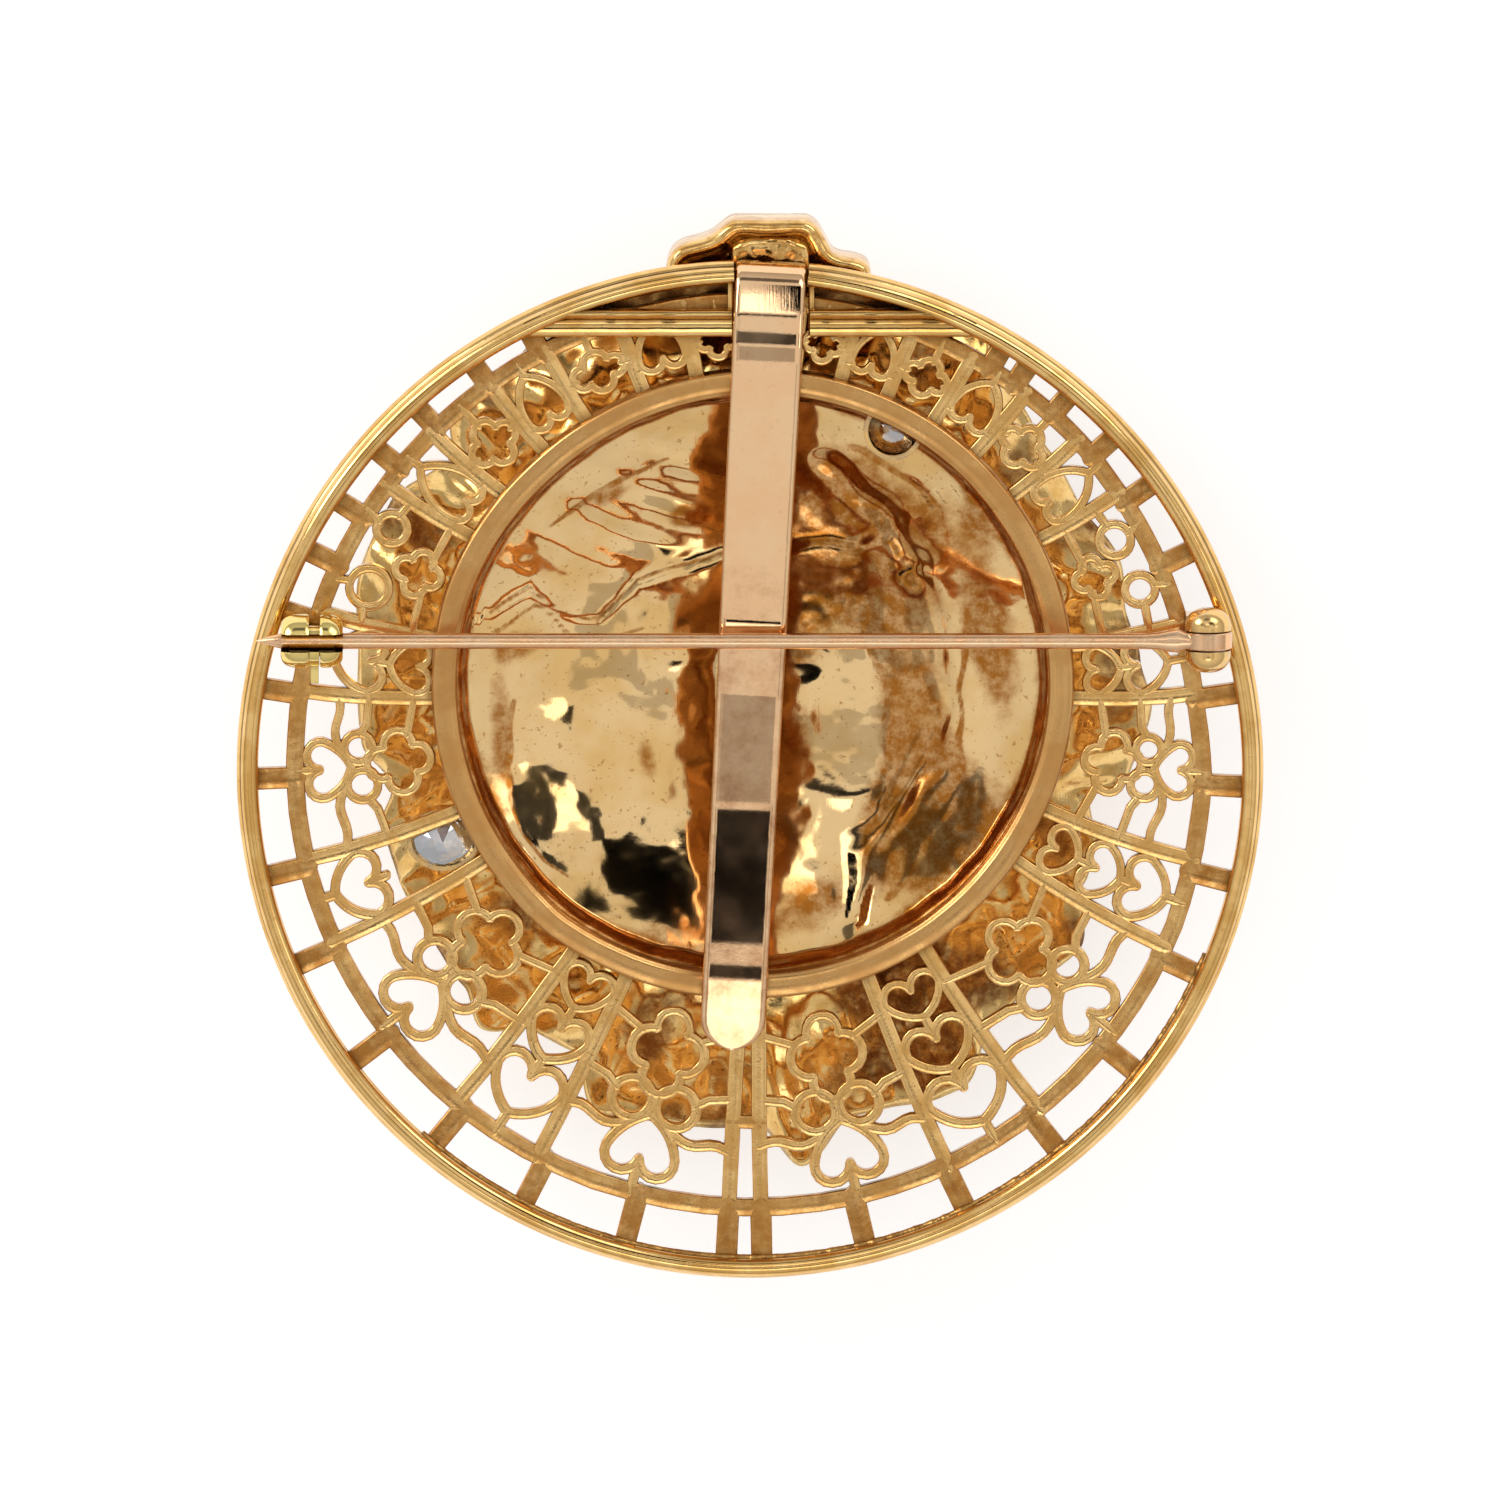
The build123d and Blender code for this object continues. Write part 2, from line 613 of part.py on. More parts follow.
def make_diamond(stone, girdle_z):
    """A cut stone, point up: eight facets to the point, a girdle, and eight facets round its table."""
    x, y = stone_place(stone)
    length, width = stone[2:]
    depth, crown, band, table_share = 0.43 * width, 0.16 * width, 0.05 * width, 0.56

    def octagon(share, z):
        turns = [math.radians(22.5 + 45 * index) for index in range(8)]
        return [
            Vector(x + 0.5 * length * share * math.cos(turn), y + 0.5 * width * share * math.sin(turn), z)
            for turn in turns
        ]

    table = octagon(table_share, girdle_z - crown)
    low, high = octagon(1, girdle_z), octagon(1, girdle_z + band)
    point = Vector(x, y, girdle_z + band + depth)
    faces = [Face(Wire.make_polygon(table[::-1], close=True))]
    for index in range(8):
        nxt = (index + 1) % 8
        for corners in (
            [high[index], high[nxt], point],
            [low[index], low[nxt], high[nxt], high[index]],
            [table[index], table[nxt], low[nxt], low[index]],
        ):
            faces.append(Face(Wire.make_polygon(corners, close=True)))
    return Solid(Shell(faces))


pieces = {
    "outer_rim": make_outer_rim,
    "gallery": make_gallery,
    "inner_ring": make_inner_ring,
    "head_shell": make_head_shell,
    "hair_frame": make_hair_frame,
    "crest": make_crest,
    "clip_mount": make_clip_mount,
    "spring_tongue": make_spring_tongue,
    "hinge_block": make_hinge_block,
    "hinge_rivet": make_hinge_rivet,
    "pin_stem": make_pin_stem,
    "catch_housing": make_catch_housing,
    "catch_rotor": make_catch_rotor,
    "collet_left": lambda: make_collet(stone_left, left_girdle - 0.5, sheet_top - 0.25),
    "collet_right": lambda: make_collet(stone_right, right_girdle - 0.5, ring_bottom - 0.25),
    "diamond_left": lambda: make_diamond(stone_left, left_girdle),
    "diamond_right": lambda: make_diamond(stone_right, right_girdle),
}

os.makedirs("parts", exist_ok=True)
for name, make in pieces.items():
    export_step(placed(make()), f"parts/{name}.step")
print("openings in the gallery:", len(gallery_openings()))
print("pin axis", hinge_x, pin_height + rim_y, hinge_z)
print("catch axis", catch_x, pin_height + rim_y, pin_z)
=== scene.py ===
import cmath
import math

import bpy
import numpy as np
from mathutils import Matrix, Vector, noise


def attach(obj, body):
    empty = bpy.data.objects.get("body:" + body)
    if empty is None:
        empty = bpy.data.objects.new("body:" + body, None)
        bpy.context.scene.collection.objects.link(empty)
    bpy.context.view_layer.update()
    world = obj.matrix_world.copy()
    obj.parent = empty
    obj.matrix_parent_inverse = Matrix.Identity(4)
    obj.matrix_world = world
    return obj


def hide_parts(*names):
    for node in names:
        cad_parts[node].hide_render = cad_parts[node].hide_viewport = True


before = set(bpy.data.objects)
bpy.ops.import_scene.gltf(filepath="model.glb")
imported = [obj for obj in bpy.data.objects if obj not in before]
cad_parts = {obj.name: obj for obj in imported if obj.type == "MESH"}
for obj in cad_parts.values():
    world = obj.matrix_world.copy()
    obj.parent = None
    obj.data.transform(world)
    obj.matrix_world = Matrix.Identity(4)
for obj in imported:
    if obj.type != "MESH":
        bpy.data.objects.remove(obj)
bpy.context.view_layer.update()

# Lengths below are in millimetres from the centre of the rim, and go into Blender in metres through mm().
# Angles round the gallery are in degrees: 0 at the bottom, rising to the right.
MM = 0.001
RIM_Y = -0.925

RIM_RADIUS = 25.7
RIM_WIRE = 0.55
FRONT_WIRE = (25.15, 9.35)
BACK_WIRE = (25.02, 10.33)
BACK_WIRE_RADIUS = 0.44
SEAM_RADIUS = 24.60
RIM_INNER = 24.4
RING_RADIUS = 15.8
RING_HOLE = 14.55
RING_CENTRE = (0.45, 4.45)
RING_TOP = 10.6
# columns: direction from the ring's centre, how far the hand-worked ring stands outside its circle there
RING_SWELL = [(0, -0.05), (30, 0.0), (60, 0.02), (120, 0.0), (135, 0.12), (150, 0.36), (165, 0.56), (180, 0.57),
              (210, 0.60), (230, 0.64), (240, 0.48), (255, 0.25), (270, 0.04), (300, -0.07), (330, -0.12),
              (360, -0.05)]
RING_BOTTOM = 8.9
SHEET = (9.2, 10.0)
BOWL_EDGE = 9.05
BOWL_DEPTH = 8.55
BOWL_SHEET = 0.35
HAIR_SHEET = 0.5
LIP_TOP = 9.15
CHORD_Y = 22.6
CLIP_X = 1.05
CLIP_Z = 11.35
CLIP_BACK = 25.2
CLIP_FOOT = 8.66
CLIP_LEAN = math.radians(2.9)
SLOT_HALF = 1.85
PIN_Y = 6.9
PIN_Z = 12.42
HINGE_X = 22.85
HINGE_Z = 12.0
EYE_RADIUS = 1.21
EYE_HOLE = 0.29
EYE_HALF = 0.43
EYE_EDGE = 0.06
CATCH_X = -21.85
CATCH_HALF = 1.55
LEVER_X = -21.71
MOUTH_HALF = 0.415
SLOT_GAP = 0.28


# Meshes


def mm(points):
    """Rim-centred millimetres to metres in the shared frame."""
    return (np.asarray(points, dtype=float).reshape(-1, 3) + (0.0, RIM_Y, 0.0)) * MM


def join(shapes):
    """The points and faces of several shapes as those of one."""
    points, faces, start = [], [], 0
    for places, polygons in shapes:
        points.append(places)
        faces += [[index + start for index in face] for face in polygons]
        start += len(places)
    return np.concatenate(points), faces


def new_object(name, data):
    """An object of the scene for a mesh, a lamp or the camera."""
    thing = bpy.data.objects.new(name, data)
    bpy.context.scene.collection.objects.link(thing)
    return thing


def add_piece(name, shape, materials, body="brooch", replaces=(), crease=40, indices=(),
              tarnish_and_shade=()):
    """A mesh piece that rides on a body and stands for CAD nodes; stains and painted shade are given for each
    point.
    """
    mesh = bpy.data.meshes.new(name)
    mesh.from_pydata(mm(shape[0]).tolist(), [], [tuple(face) for face in shape[1]])
    for material in materials:
        mesh.materials.append(material)
    if len(indices):
        mesh.polygons.foreach_set("material_index", indices)
    if len(tarnish_and_shade):
        layer = mesh.attributes.new("tarnish_and_shade", "FLOAT", "POINT")
        layer.data.foreach_set("value", np.asarray(tarnish_and_shade, dtype=np.float32))
    mesh.validate()
    mesh.update()
    mesh.shade_smooth()
    if crease < 180:
        mesh.set_sharp_from_angle(angle=math.radians(crease))
    piece = new_object(name, mesh)
    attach(piece, body)
    if replaces:
        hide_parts(*replaces)
    return piece


def grid_faces(rows, count, flip=False, start=0):
    """Quads between rows of points, each row closed on itself."""
    faces = []
    for row in range(rows - 1):
        for col in range(count):
            a, b = start + row * count + col, start + row * count + (col + 1) % count
            quad = [a, a + count, b + count, b]
            faces.append([a, *quad[:0:-1]] if flip else quad)
    return faces


def loft(sections, closed_path=False):
    """Faces through closed sections, with flat ends unless the path closes."""
    sections = np.asarray(sections, dtype=float)
    rows, count = sections.shape[:2]
    faces = grid_faces(rows, count)
    last = (rows - 1) * count
    if closed_path:
        faces += [[last + col, col, (col + 1) % count, last + (col + 1) % count] for col in range(count)]
    else:
        faces += [list(range(count))[::-1], list(range(last, last + count))]
    return sections.reshape(-1, 3), faces


def both_sides(side, top):
    """A closed section from its right side, which runs downward, and its highest place."""
    left = [(-u, v) for u, v in side[::-1]]
    return left[1:] + [top] + side + left[:1]


def directions(path, closed):
    """Unit tangent at each place of a path."""
    path = np.asarray(path, dtype=float)
    if closed:
        step = np.roll(path, -1, axis=0) - np.roll(path, 1, axis=0)
    else:
        step = np.gradient(path, axis=0)
    return step / np.maximum(np.linalg.norm(step, axis=1, keepdims=True), 1e-9)


def sideways(path, closed):
    """Unit vectors square to a flat path, to its right."""
    tangent = directions(path, closed)
    return np.stack([tangent[:, 1], -tangent[:, 0]], axis=1)


def tube(path, radii, sides, closed=False):
    """A round wire along a level path, with one radius for each place."""
    path = np.asarray(path, dtype=float)
    tangent = directions(path, closed)
    side = np.cross(tangent, (0.0, 0.0, 1.0))
    side /= np.linalg.norm(side, axis=1, keepdims=True)
    lift = np.cross(side, tangent)[:, None]
    turn = np.linspace(0, math.tau, sides, endpoint=False)[None, :, None]
    radii = np.asarray(radii, dtype=float).reshape(-1, 1, 1)
    return loft(path[:, None] + radii * (np.cos(turn) * side[:, None] + np.sin(turn) * lift), closed)


def strip(path, widths, bottom, top, bevel):
    """A flat ribbon with rounded edges and a slightly domed top, along a path in plan."""
    path = np.asarray(path, dtype=float)
    normal = sideways(path, False)
    half = np.broadcast_to(np.asarray(widths, dtype=float) / 2, (len(path),))
    sections = []
    for (x, y), (nx, ny), reach in zip(path, normal, half):
        edge = min(bevel, 0.8 * reach)
        side = [(reach - edge, top), (reach - 0.3 * edge, top - 0.3 * edge), (reach, top - edge),
                (reach, bottom + edge), (reach - edge, bottom)]
        sections.append([(x + nx * u, y + ny * u, z) for u, z in both_sides(side, (0, top + 0.1 * edge))])
    return loft(sections)


def rounded_ends(path, width):
    """A path with a half-round end at each side, and its widths."""
    path = np.array(path)
    first, last = path[0] - path[1], path[-1] - path[-2]
    turns = np.radians((80, 52, 25))[:, None]
    head = path[0] + first / np.linalg.norm(first) * width / 2 * np.sin(turns)
    tail = path[-1] + last / np.linalg.norm(last) * width / 2 * np.sin(turns[::-1])
    ends = width * np.cos(turns[:, 0])
    return np.concatenate([head, path, tail]), np.concatenate([ends, np.full(len(path), width), ends[::-1]])


def smooth(low, high, value):
    """0 below low, 1 above high, with soft ends."""
    share = np.clip((value - low) / (high - low), 0.0, 1.0)
    return share * share * (3 - 2 * share)


def mound(x, y, cx, cy, rx, ry, turn=0.0):
    """A soft mound of height 1, turned by an angle in degrees."""
    c, s = math.cos(math.radians(turn)), math.sin(math.radians(turn))
    u, v = (x - cx) * c + (y - cy) * s, (y - cy) * c - (x - cx) * s
    return np.exp(-(u / rx) ** 2 - (v / ry) ** 2)


def along_line(x, y, line):
    """Distance to a broken line, and the same with a sign for its side."""
    best = np.full(np.shape(x), 1e9)
    side = np.zeros(np.shape(x))
    for (x0, y0), (x1, y1) in zip(line, line[1:]):
        dx, dy = x1 - x0, y1 - y0
        share = np.clip(((x - x0) * dx + (y - y0) * dy) / (dx ** 2 + dy ** 2), 0, 1)
        distance = np.hypot(x - x0 - share * dx, y - y0 - share * dy)
        nearer = distance < best
        best = np.where(nearer, distance, best)
        side = np.where(nearer, np.sign(dx * (y - y0) - dy * (x - x0)) * distance, side)
    return best, side


def near_line(x, y, line, width):
    """1 on a broken line, falling softly to 0 away from it."""
    return np.exp(-(along_line(x, y, line)[0] / width) ** 2)


def soft_table(table, at):
    """The value between the rows of a table, eased from row to row."""
    for (low, start), (high, end) in zip(table, table[1:]):
        if low <= at <= high:
            return start + (end - start) * float(smooth(low, high, at))
    return table[0][1]


def ring_swell(x, y):
    """Extra radius of the inner ring in the direction of places seen from its centre."""
    return np.interp(np.degrees(np.arctan2(y, x)) % 360, *zip(*RING_SWELL))


def rough(x, y, size, seed=0.0):
    """Soft noise from -1 to 1 over arrays of places."""
    flat = [noise.noise(Vector((a / size, b / size, seed))) for a, b in zip(np.ravel(x), np.ravel(y))]
    return np.array(flat).reshape(np.shape(x))


def swayed(x, y):
    """Places pushed aside a little, so that lines drawn over them look drawn by hand."""
    return x + 0.5 * rough(x, y, 2.6, 11.0), y + 0.5 * rough(x, y, 2.6, 12.0)


# Materials, whose texture sizes are in millimetres on the object


def set_sockets(tree, node, sockets):
    """Links or values for the inputs of a node."""
    for key, value in sockets.items():
        if isinstance(value, bpy.types.NodeSocket):
            tree.links.new(value, node.inputs[key])
        else:
            node.inputs[key].default_value = value


def add_node(tree, kind, sockets, **settings):
    """A node with its settings and its inputs."""
    node = tree.nodes.new("ShaderNode" + kind)
    for key, value in settings.items():
        setattr(node, key, value)
    set_sockets(tree, node, sockets)
    return node


class Shader:
    """Builds one node material."""

    def __init__(self, name):
        self.material = bpy.data.materials.new(name)
        self.material.use_nodes = True
        self.tree = self.material.node_tree
        self.tree.nodes.clear()
        self.bsdf = self.tree.nodes.new("ShaderNodeBsdfPrincipled")
        self.output = self.add("OutputMaterial", {"Surface": self.bsdf.outputs[0]})
        where = self.add("TexCoord", {})
        in_mm = {"Scale": (1 / MM, 1 / MM, 1 / MM), "Vector": where.outputs["Object"]}
        self.coords = self.add("Mapping", in_mm).outputs[0]

    def add(self, kind, sockets, **settings):
        return add_node(self.tree, kind, sockets, **settings)

    def feed(self, **sockets):
        """Sets the surface, with _ for the spaces in its sockets' names."""
        set_sockets(self.tree, self.bsdf, {key.replace("_", " "): value for key, value in sockets.items()})

    def noise(self, scale, detail, roughness=0.5, stretch=None):
        vector = self.coords
        if stretch:
            turned = {"Rotation": (0, 0, math.radians(stretch[3])), "Scale": stretch[:3], "Vector": vector}
            vector = self.add("Mapping", turned).outputs[0]
        sockets = {"Scale": scale, "Detail": detail, "Roughness": roughness, "Vector": vector}
        return self.add("TexNoise", sockets).outputs[0]

    def ramp(self, value, low, high, bottom=0.0, top=1.0):
        sockets = {"Value": value, "From Min": low, "From Max": high, "To Min": bottom, "To Max": top}
        return self.add("MapRange", sockets, interpolation_type="SMOOTHSTEP").outputs[0]

    def math(self, kind, a, b, clamp=False):
        return self.add("Math", {0: a, 1: b}, operation=kind, use_clamp=clamp).outputs[0]

    def mix(self, factor, a, b):
        colours = [(*colour, 1.0) if isinstance(colour, tuple) else colour for colour in (a, b)]
        return self.add("Mix", {0: factor, 6: colours[0], 7: colours[1]}, data_type="RGBA").outputs[2]

    def hollows(self, distance):
        """1 in tight corners, 0 on open surfaces."""
        node = self.add("AmbientOcclusion", {"Distance": distance * MM}, samples=3)
        return self.math("SUBTRACT", 1.0, node.outputs["AO"])

    def bump(self, height, strength, depth, normal=None):
        sockets = {"Strength": strength, "Distance": depth * MM, "Height": height}
        if normal is not None:
            sockets["Normal"] = normal
        return self.add("Bump", sockets).outputs[0]


def gold(name, base, second, dark, roughness, patch=0.35, speckle=0.3, corner_shade_and_tarnish=0.7, reach=0.7, grain=0.3,
         scratches=0.0, bevel=0.0, stain=0.0, painted=False, wave=0.0, dull=0.16):
    """Old gold: patches of two tones, brown specks, painted shade with some patina in corners, grain and
    scratches.
    Its stains, with painted shade in the bowl, come from the mesh's tarnish_and_shade where painted, or from
    noise."""
    shader = Shader(name)
    mottle = shader.noise(patch, 3, 0.65)
    tone = shader.ramp(mottle, 0.38, 0.64)
    colour = shader.mix(tone, base, second)
    specks = shader.ramp(shader.noise(3.2, 2, 0.7), 0.60, 0.74, 0.0, speckle)
    colour = shader.mix(specks, colour, dark)
    cloud = shader.noise(0.55, 4, 0.7)
    # The mesh's attribute gives real stains, and in the bowl also painted shade along the chased lines and at
    # the wall.
    if painted:
        tarnish_and_shade = shader.add("Attribute", {}, attribute_name="tarnish_and_shade")
        stain_and_shade = shader.math("MULTIPLY", tarnish_and_shade.outputs["Fac"], 1.6)
        stain_and_shade = shader.math("ADD", stain_and_shade, shader.math("SUBTRACT", cloud, 0.5))
        stain_and_shade = shader.ramp(stain_and_shade, 0.35, 0.95)
    else:
        stain_and_shade = shader.ramp(cloud, 0.62 - 0.3 * stain, 0.86 - 0.3 * stain, 0.0, min(1.0, 2.0 * stain))
    stain_and_shade = shader.math("MULTIPLY", stain_and_shade, shader.ramp(shader.noise(1.3, 4, 0.7), 0.30, 0.62, 0.5, 1.0))
    colour = shader.mix(stain_and_shade, colour, dark)
    # Painted shade: tight corners, where shade falls, darken toward a deep brown; part of it stands for patina
    # there.
    if corner_shade_and_tarnish:
        corners = shader.math("MULTIPLY", shader.hollows(reach), corner_shade_and_tarnish, True)
        colour = shader.mix(corners, colour, tuple(0.35 * part for part in dark))
    surface = shader.ramp(mottle, 0.3, 0.7, 0.75 * roughness, 1.3 * roughness)
    surface = shader.math("ADD", surface, shader.math("MULTIPLY", stain_and_shade, dull))
    normal = shader.add("Bevel", {"Radius": bevel * MM}, samples=2).outputs[0] if bevel else None
    if wave:
        normal = shader.bump(shader.noise(0.45, 2, 0.5), wave, 0.12, normal)
    normal = shader.bump(shader.noise(7.0, 2, 0.6), grain, 0.012, normal)
    if scratches:
        lines = shader.noise(1.0, 2, 0.5, (14.0, 0.5, 1.0, 8))
        more = shader.noise(1.0, 2, 0.5, (11.0, 0.6, 1.0, 64))
        normal = shader.bump(shader.math("MAXIMUM", lines, more), scratches, 0.006, normal)
    shader.feed(Base_Color=colour, Metallic=1.0, Roughness=surface, Normal=normal)
    return shader.material


PALE = (0.86, 0.56, 0.22)
ORANGE = (0.46, 0.20, 0.045)
BROWN = (0.20, 0.075, 0.018)
ROSE = (0.86, 0.51, 0.28)

openwork_gold = gold("openwork_gold", (0.90, 0.575, 0.225), (0.74, 0.42, 0.13), ORANGE, 0.20, patch=0.5,
                     speckle=0.55, corner_shade_and_tarnish=1.2, reach=0.5, grain=0.4, scratches=0.2,
                     dull=0.08, painted=True)
rim_gold = gold("rim_gold", (0.88, 0.57, 0.22), (0.72, 0.41, 0.12), ORANGE, 0.11, corner_shade_and_tarnish=1.5, reach=0.5,
                grain=0.12, stain=0.14, wave=0.12, dull=0.08)
# Painted shade: a much darker copy of the gold, with stains, for the web deep in the pocket under the chord
# bar.
web_gold_shaded = gold("web_gold_shaded", (0.50, 0.27, 0.08), (0.30, 0.14, 0.04), BROWN, 0.25, patch=0.9, speckle=0.6,
                corner_shade_and_tarnish=1.0, grain=0.6, stain=0.5, wave=0.6)
solder_gold = gold("solder_gold", (0.62, 0.36, 0.11), (0.42, 0.20, 0.05), BROWN, 0.36, patch=1.5, speckle=0.7,
                   corner_shade_and_tarnish=0.9, grain=1.0, stain=0.4)
ring_gold = gold("ring_gold", (0.70, 0.40, 0.145), (0.60, 0.31, 0.10), ORANGE, 0.28, corner_shade_and_tarnish=0.8, reach=0.6,
                 scratches=0.35, stain=0.08, wave=0.2)
bowl_gold = gold("bowl_gold", (0.88, 0.61, 0.30), (0.80, 0.51, 0.20), (0.38, 0.135, 0.018), 0.07, patch=0.22,
                 speckle=0.6, corner_shade_and_tarnish=0.0, grain=0.06, scratches=0.08, wave=0.4, dull=0.05, painted=True)
hair_gold = gold("hair_gold", (0.83, 0.56, 0.22), (0.69, 0.41, 0.125), BROWN, 0.14, patch=0.7, speckle=0.8,
                 corner_shade_and_tarnish=0.0, grain=0.35, wave=0.5, painted=True)
tray_gold = gold("tray_gold", (0.90, 0.58, 0.22), (0.66, 0.36, 0.10), ORANGE, 0.15, patch=0.8, speckle=0.8,
                 corner_shade_and_tarnish=0.7, reach=0.5, grain=0.5, stain=0.36, wave=0.6)
tongue_gold = gold("tongue_gold", (0.88, 0.56, 0.31), (0.90, 0.60, 0.35), (0.47, 0.20, 0.085), 0.08, patch=0.3,
                   speckle=0.12, corner_shade_and_tarnish=0.0, grain=0.12, scratches=0.5, dull=0.03, painted=True)
# Painted shade: a much darker, duller copy of the tongue's gold for its underside, which faces away from the
# light.
tongue_underside_shaded = gold("tongue_underside_shaded", (0.52, 0.31, 0.16), (0.34, 0.18, 0.08), BROWN, 0.30, speckle=0.6, corner_shade_and_tarnish=0.5)
pin_gold = gold("pin_gold", ROSE, (0.84, 0.56, 0.34), (0.40, 0.18, 0.08), 0.20, patch=0.6, speckle=0.3,
                corner_shade_and_tarnish=0.7, reach=0.4, grain=0.2, bevel=0.06)
catch_gold = gold("catch_gold", (0.88, 0.69, 0.26), (0.84, 0.62, 0.20), ORANGE, 0.10, patch=0.6, speckle=0.15,
                  corner_shade_and_tarnish=0.9, reach=0.35, grain=0.05, bevel=0.07)
hinge_gold = gold("hinge_gold", PALE, (0.72, 0.50, 0.26), ORANGE, 0.18, patch=0.8, speckle=0.4, corner_shade_and_tarnish=0.8,
                  reach=0.4, grain=0.2, stain=0.3, bevel=0.08)


def cut_stone(name):
    """A clear stone with a slight tint, half glass and half mirror."""
    shader = Shader(name)
    shader.feed(Base_Color=(0.93, 0.95, 0.98, 1.0), Transmission_Weight=1.0, IOR=1.9,
                Roughness=shader.ramp(shader.noise(4.0, 3), 0.4, 0.8, 0.0, 0.03))
    mirror = shader.add("BsdfGlossy", {"Color": (0.86, 0.90, 0.97, 1.0), "Roughness": 0.02})
    blend = shader.add("MixShader", {0: 0.5, 1: shader.bsdf.outputs[0], 2: mirror.outputs[0]})
    shader.tree.links.new(blend.outputs[0], shader.output.inputs["Surface"])
    return shader.material


diamond_clear = cut_stone("diamond_clear")


# Fan layout of the gallery: the rim and the inner ring belong to one family of circles

FAN_AXIS = math.atan2(RING_CENTRE[1], RING_CENTRE[0])
FAN_OFFSET = math.hypot(*RING_CENTRE)
RADICAL = (FAN_OFFSET ** 2 + RIM_INNER ** 2 - RING_RADIUS ** 2) / (2 * FAN_OFFSET)
SPREAD = math.sqrt(RADICAL ** 2 - RIM_INNER ** 2)
NEAR, FAR = RADICAL - SPREAD, RADICAL + SPREAD
RING_LEVEL = (NEAR + RING_RADIUS - FAN_OFFSET) / (FAR + RING_RADIUS - FAN_OFFSET)
RIM_LEVEL = (NEAR + RIM_INNER) / (FAR + RIM_INNER)
FAN_HEIGHT = math.degrees(math.log(RIM_LEVEL / RING_LEVEL))

# columns: fan angle, level of the middle ring as a share of the fan's height
MIDDLE_LEVELS = [(-180, 0.832), (-85, 0.832), (-66, 0.845), (-57, 0.852), (-38, 0.866), (-20, 0.868),
                 (0, 0.863), (20, 0.867), (38, 0.860), (55, 0.835), (67, 0.800), (76, 0.797), (98, 0.806),
                 (112, 0.828), (180, 0.832)]


def fan_point(turn, rise):
    """Place of a fan angle and a rise (0 at the inner ring)."""
    w = cmath.rect(RING_LEVEL * math.exp(math.radians(rise)), math.radians(turn))
    z = (NEAR - FAR * w) / (1 - w) * cmath.rect(1, FAN_AXIS)
    return z.real, z.imag


def fan_scale(turn, rise):
    """Millimetres for one degree of the fan, at one place."""
    (x0, y0), (x1, y1) = fan_point(turn - 0.5, rise), fan_point(turn + 0.5, rise)
    return math.hypot(x1 - x0, y1 - y0)


def middle_rise(turn):
    """Rise of the middle ring at a fan angle."""
    return FAN_HEIGHT * soft_table(MIDDLE_LEVELS, (turn + 180) % 360 - 180)


def circle_arc(start, middle, end, steps=10):
    """Places along the circle through three places."""
    a, b, c = complex(*start), complex(*middle), complex(*end)
    w = (c - a) / (b - a)
    if abs(w.imag) < 1e-6:
        return [start, middle, end]
    centre = (b - a) * (w - abs(w) ** 2) / (2j * w.imag) + a
    radius = abs(a - centre)
    first, mid, last = [cmath.phase(place - centre) for place in (a, b, c)]
    sweep = (last - first) % math.tau
    if (mid - first) % math.tau > sweep:
        sweep -= math.tau
    places = [centre + cmath.rect(radius, first + sweep * step / steps) for step in range(steps + 1)]
    return [(place.real, place.imag) for place in places]


# Strokes of the gallery: paths of fan angle and rise, worked out from shares of a sector's band


def ring_stroke(turn, rise, radius):
    turns = [math.tau * step / 22 for step in range(23)]
    return [(turn + radius * math.cos(angle), rise + radius * math.sin(angle)) for angle in turns]


def quatrefoil(rise, across, along):
    """Four lobes that meet in four cusps."""
    cusp_t, cusp_r = 0.46 * across, 0.46 * along
    corners = [(-cusp_t, -cusp_r), (cusp_t, -cusp_r), (cusp_t, cusp_r), (-cusp_t, cusp_r)]
    tips = [(0, -along), (across, 0), (0, along), (-across, 0)]
    return [[(t, rise + r) for t, r in circle_arc(corners[index], tip, corners[(index + 1) % 4])]
            for index, tip in enumerate(tips)]


def heart(point, lobes, half_width, tail=0.36):
    """The two halves of a heart, its lobes inward or outward of its point."""
    back = math.copysign(half_width, point - lobes)
    halves = []
    for side in (-1, 1):
        outer = (side * half_width, lobes + 0.58 * back)
        flank = (side * 0.60 * half_width, point + tail * (outer[1] - point))
        lobe = circle_arc(outer, (side * 0.5 * half_width, lobes), (0, lobes + 0.42 * back), 8)
        halves.append(circle_arc((0, point), flank, outer, 8) + lobe[1:])
    return halves


def wavy(start, end, bulge):
    """A bar with a slight double bend."""
    (t0, r0), (t1, r1) = start, end
    return [(t0 + (t1 - t0) * step / 8, r0 + (r1 - r0) * step / 8 + bulge * math.sin(math.tau * step / 8))
            for step in range(9)]


def rosette(half, band):
    """A quatrefoil over two rings and a heart, with bars to both spokes."""
    wide = math.sqrt(half / 6.5)
    strokes = quatrefoil(0.372 * band, 3.5 * wide, 0.222 * band)
    strokes += [ring_stroke(side * 1.85 * wide, 0.632 * band, 1.66) for side in (-1, 1)]
    strokes += heart(0.685 * band, 0.935 * band, 2.55 * wide)
    for side in (-1, 1):
        edge = side * half
        strokes.append([(side * 3.0 * wide, 0.30 * band), (edge, 0.235 * band)])
        strokes.append([(side * 3.4 * wide, 0.61 * band), (side * 4.4 * wide, 0.575 * band),
                        (edge, 0.56 * band)])
        strokes.append(wavy((side * 2.2 * wide, 0.755 * band), (edge, (0.78 + 0.02 * side) * band), 0.3))
    return strokes + [[(0, 0.88 * band), (0, band)]]


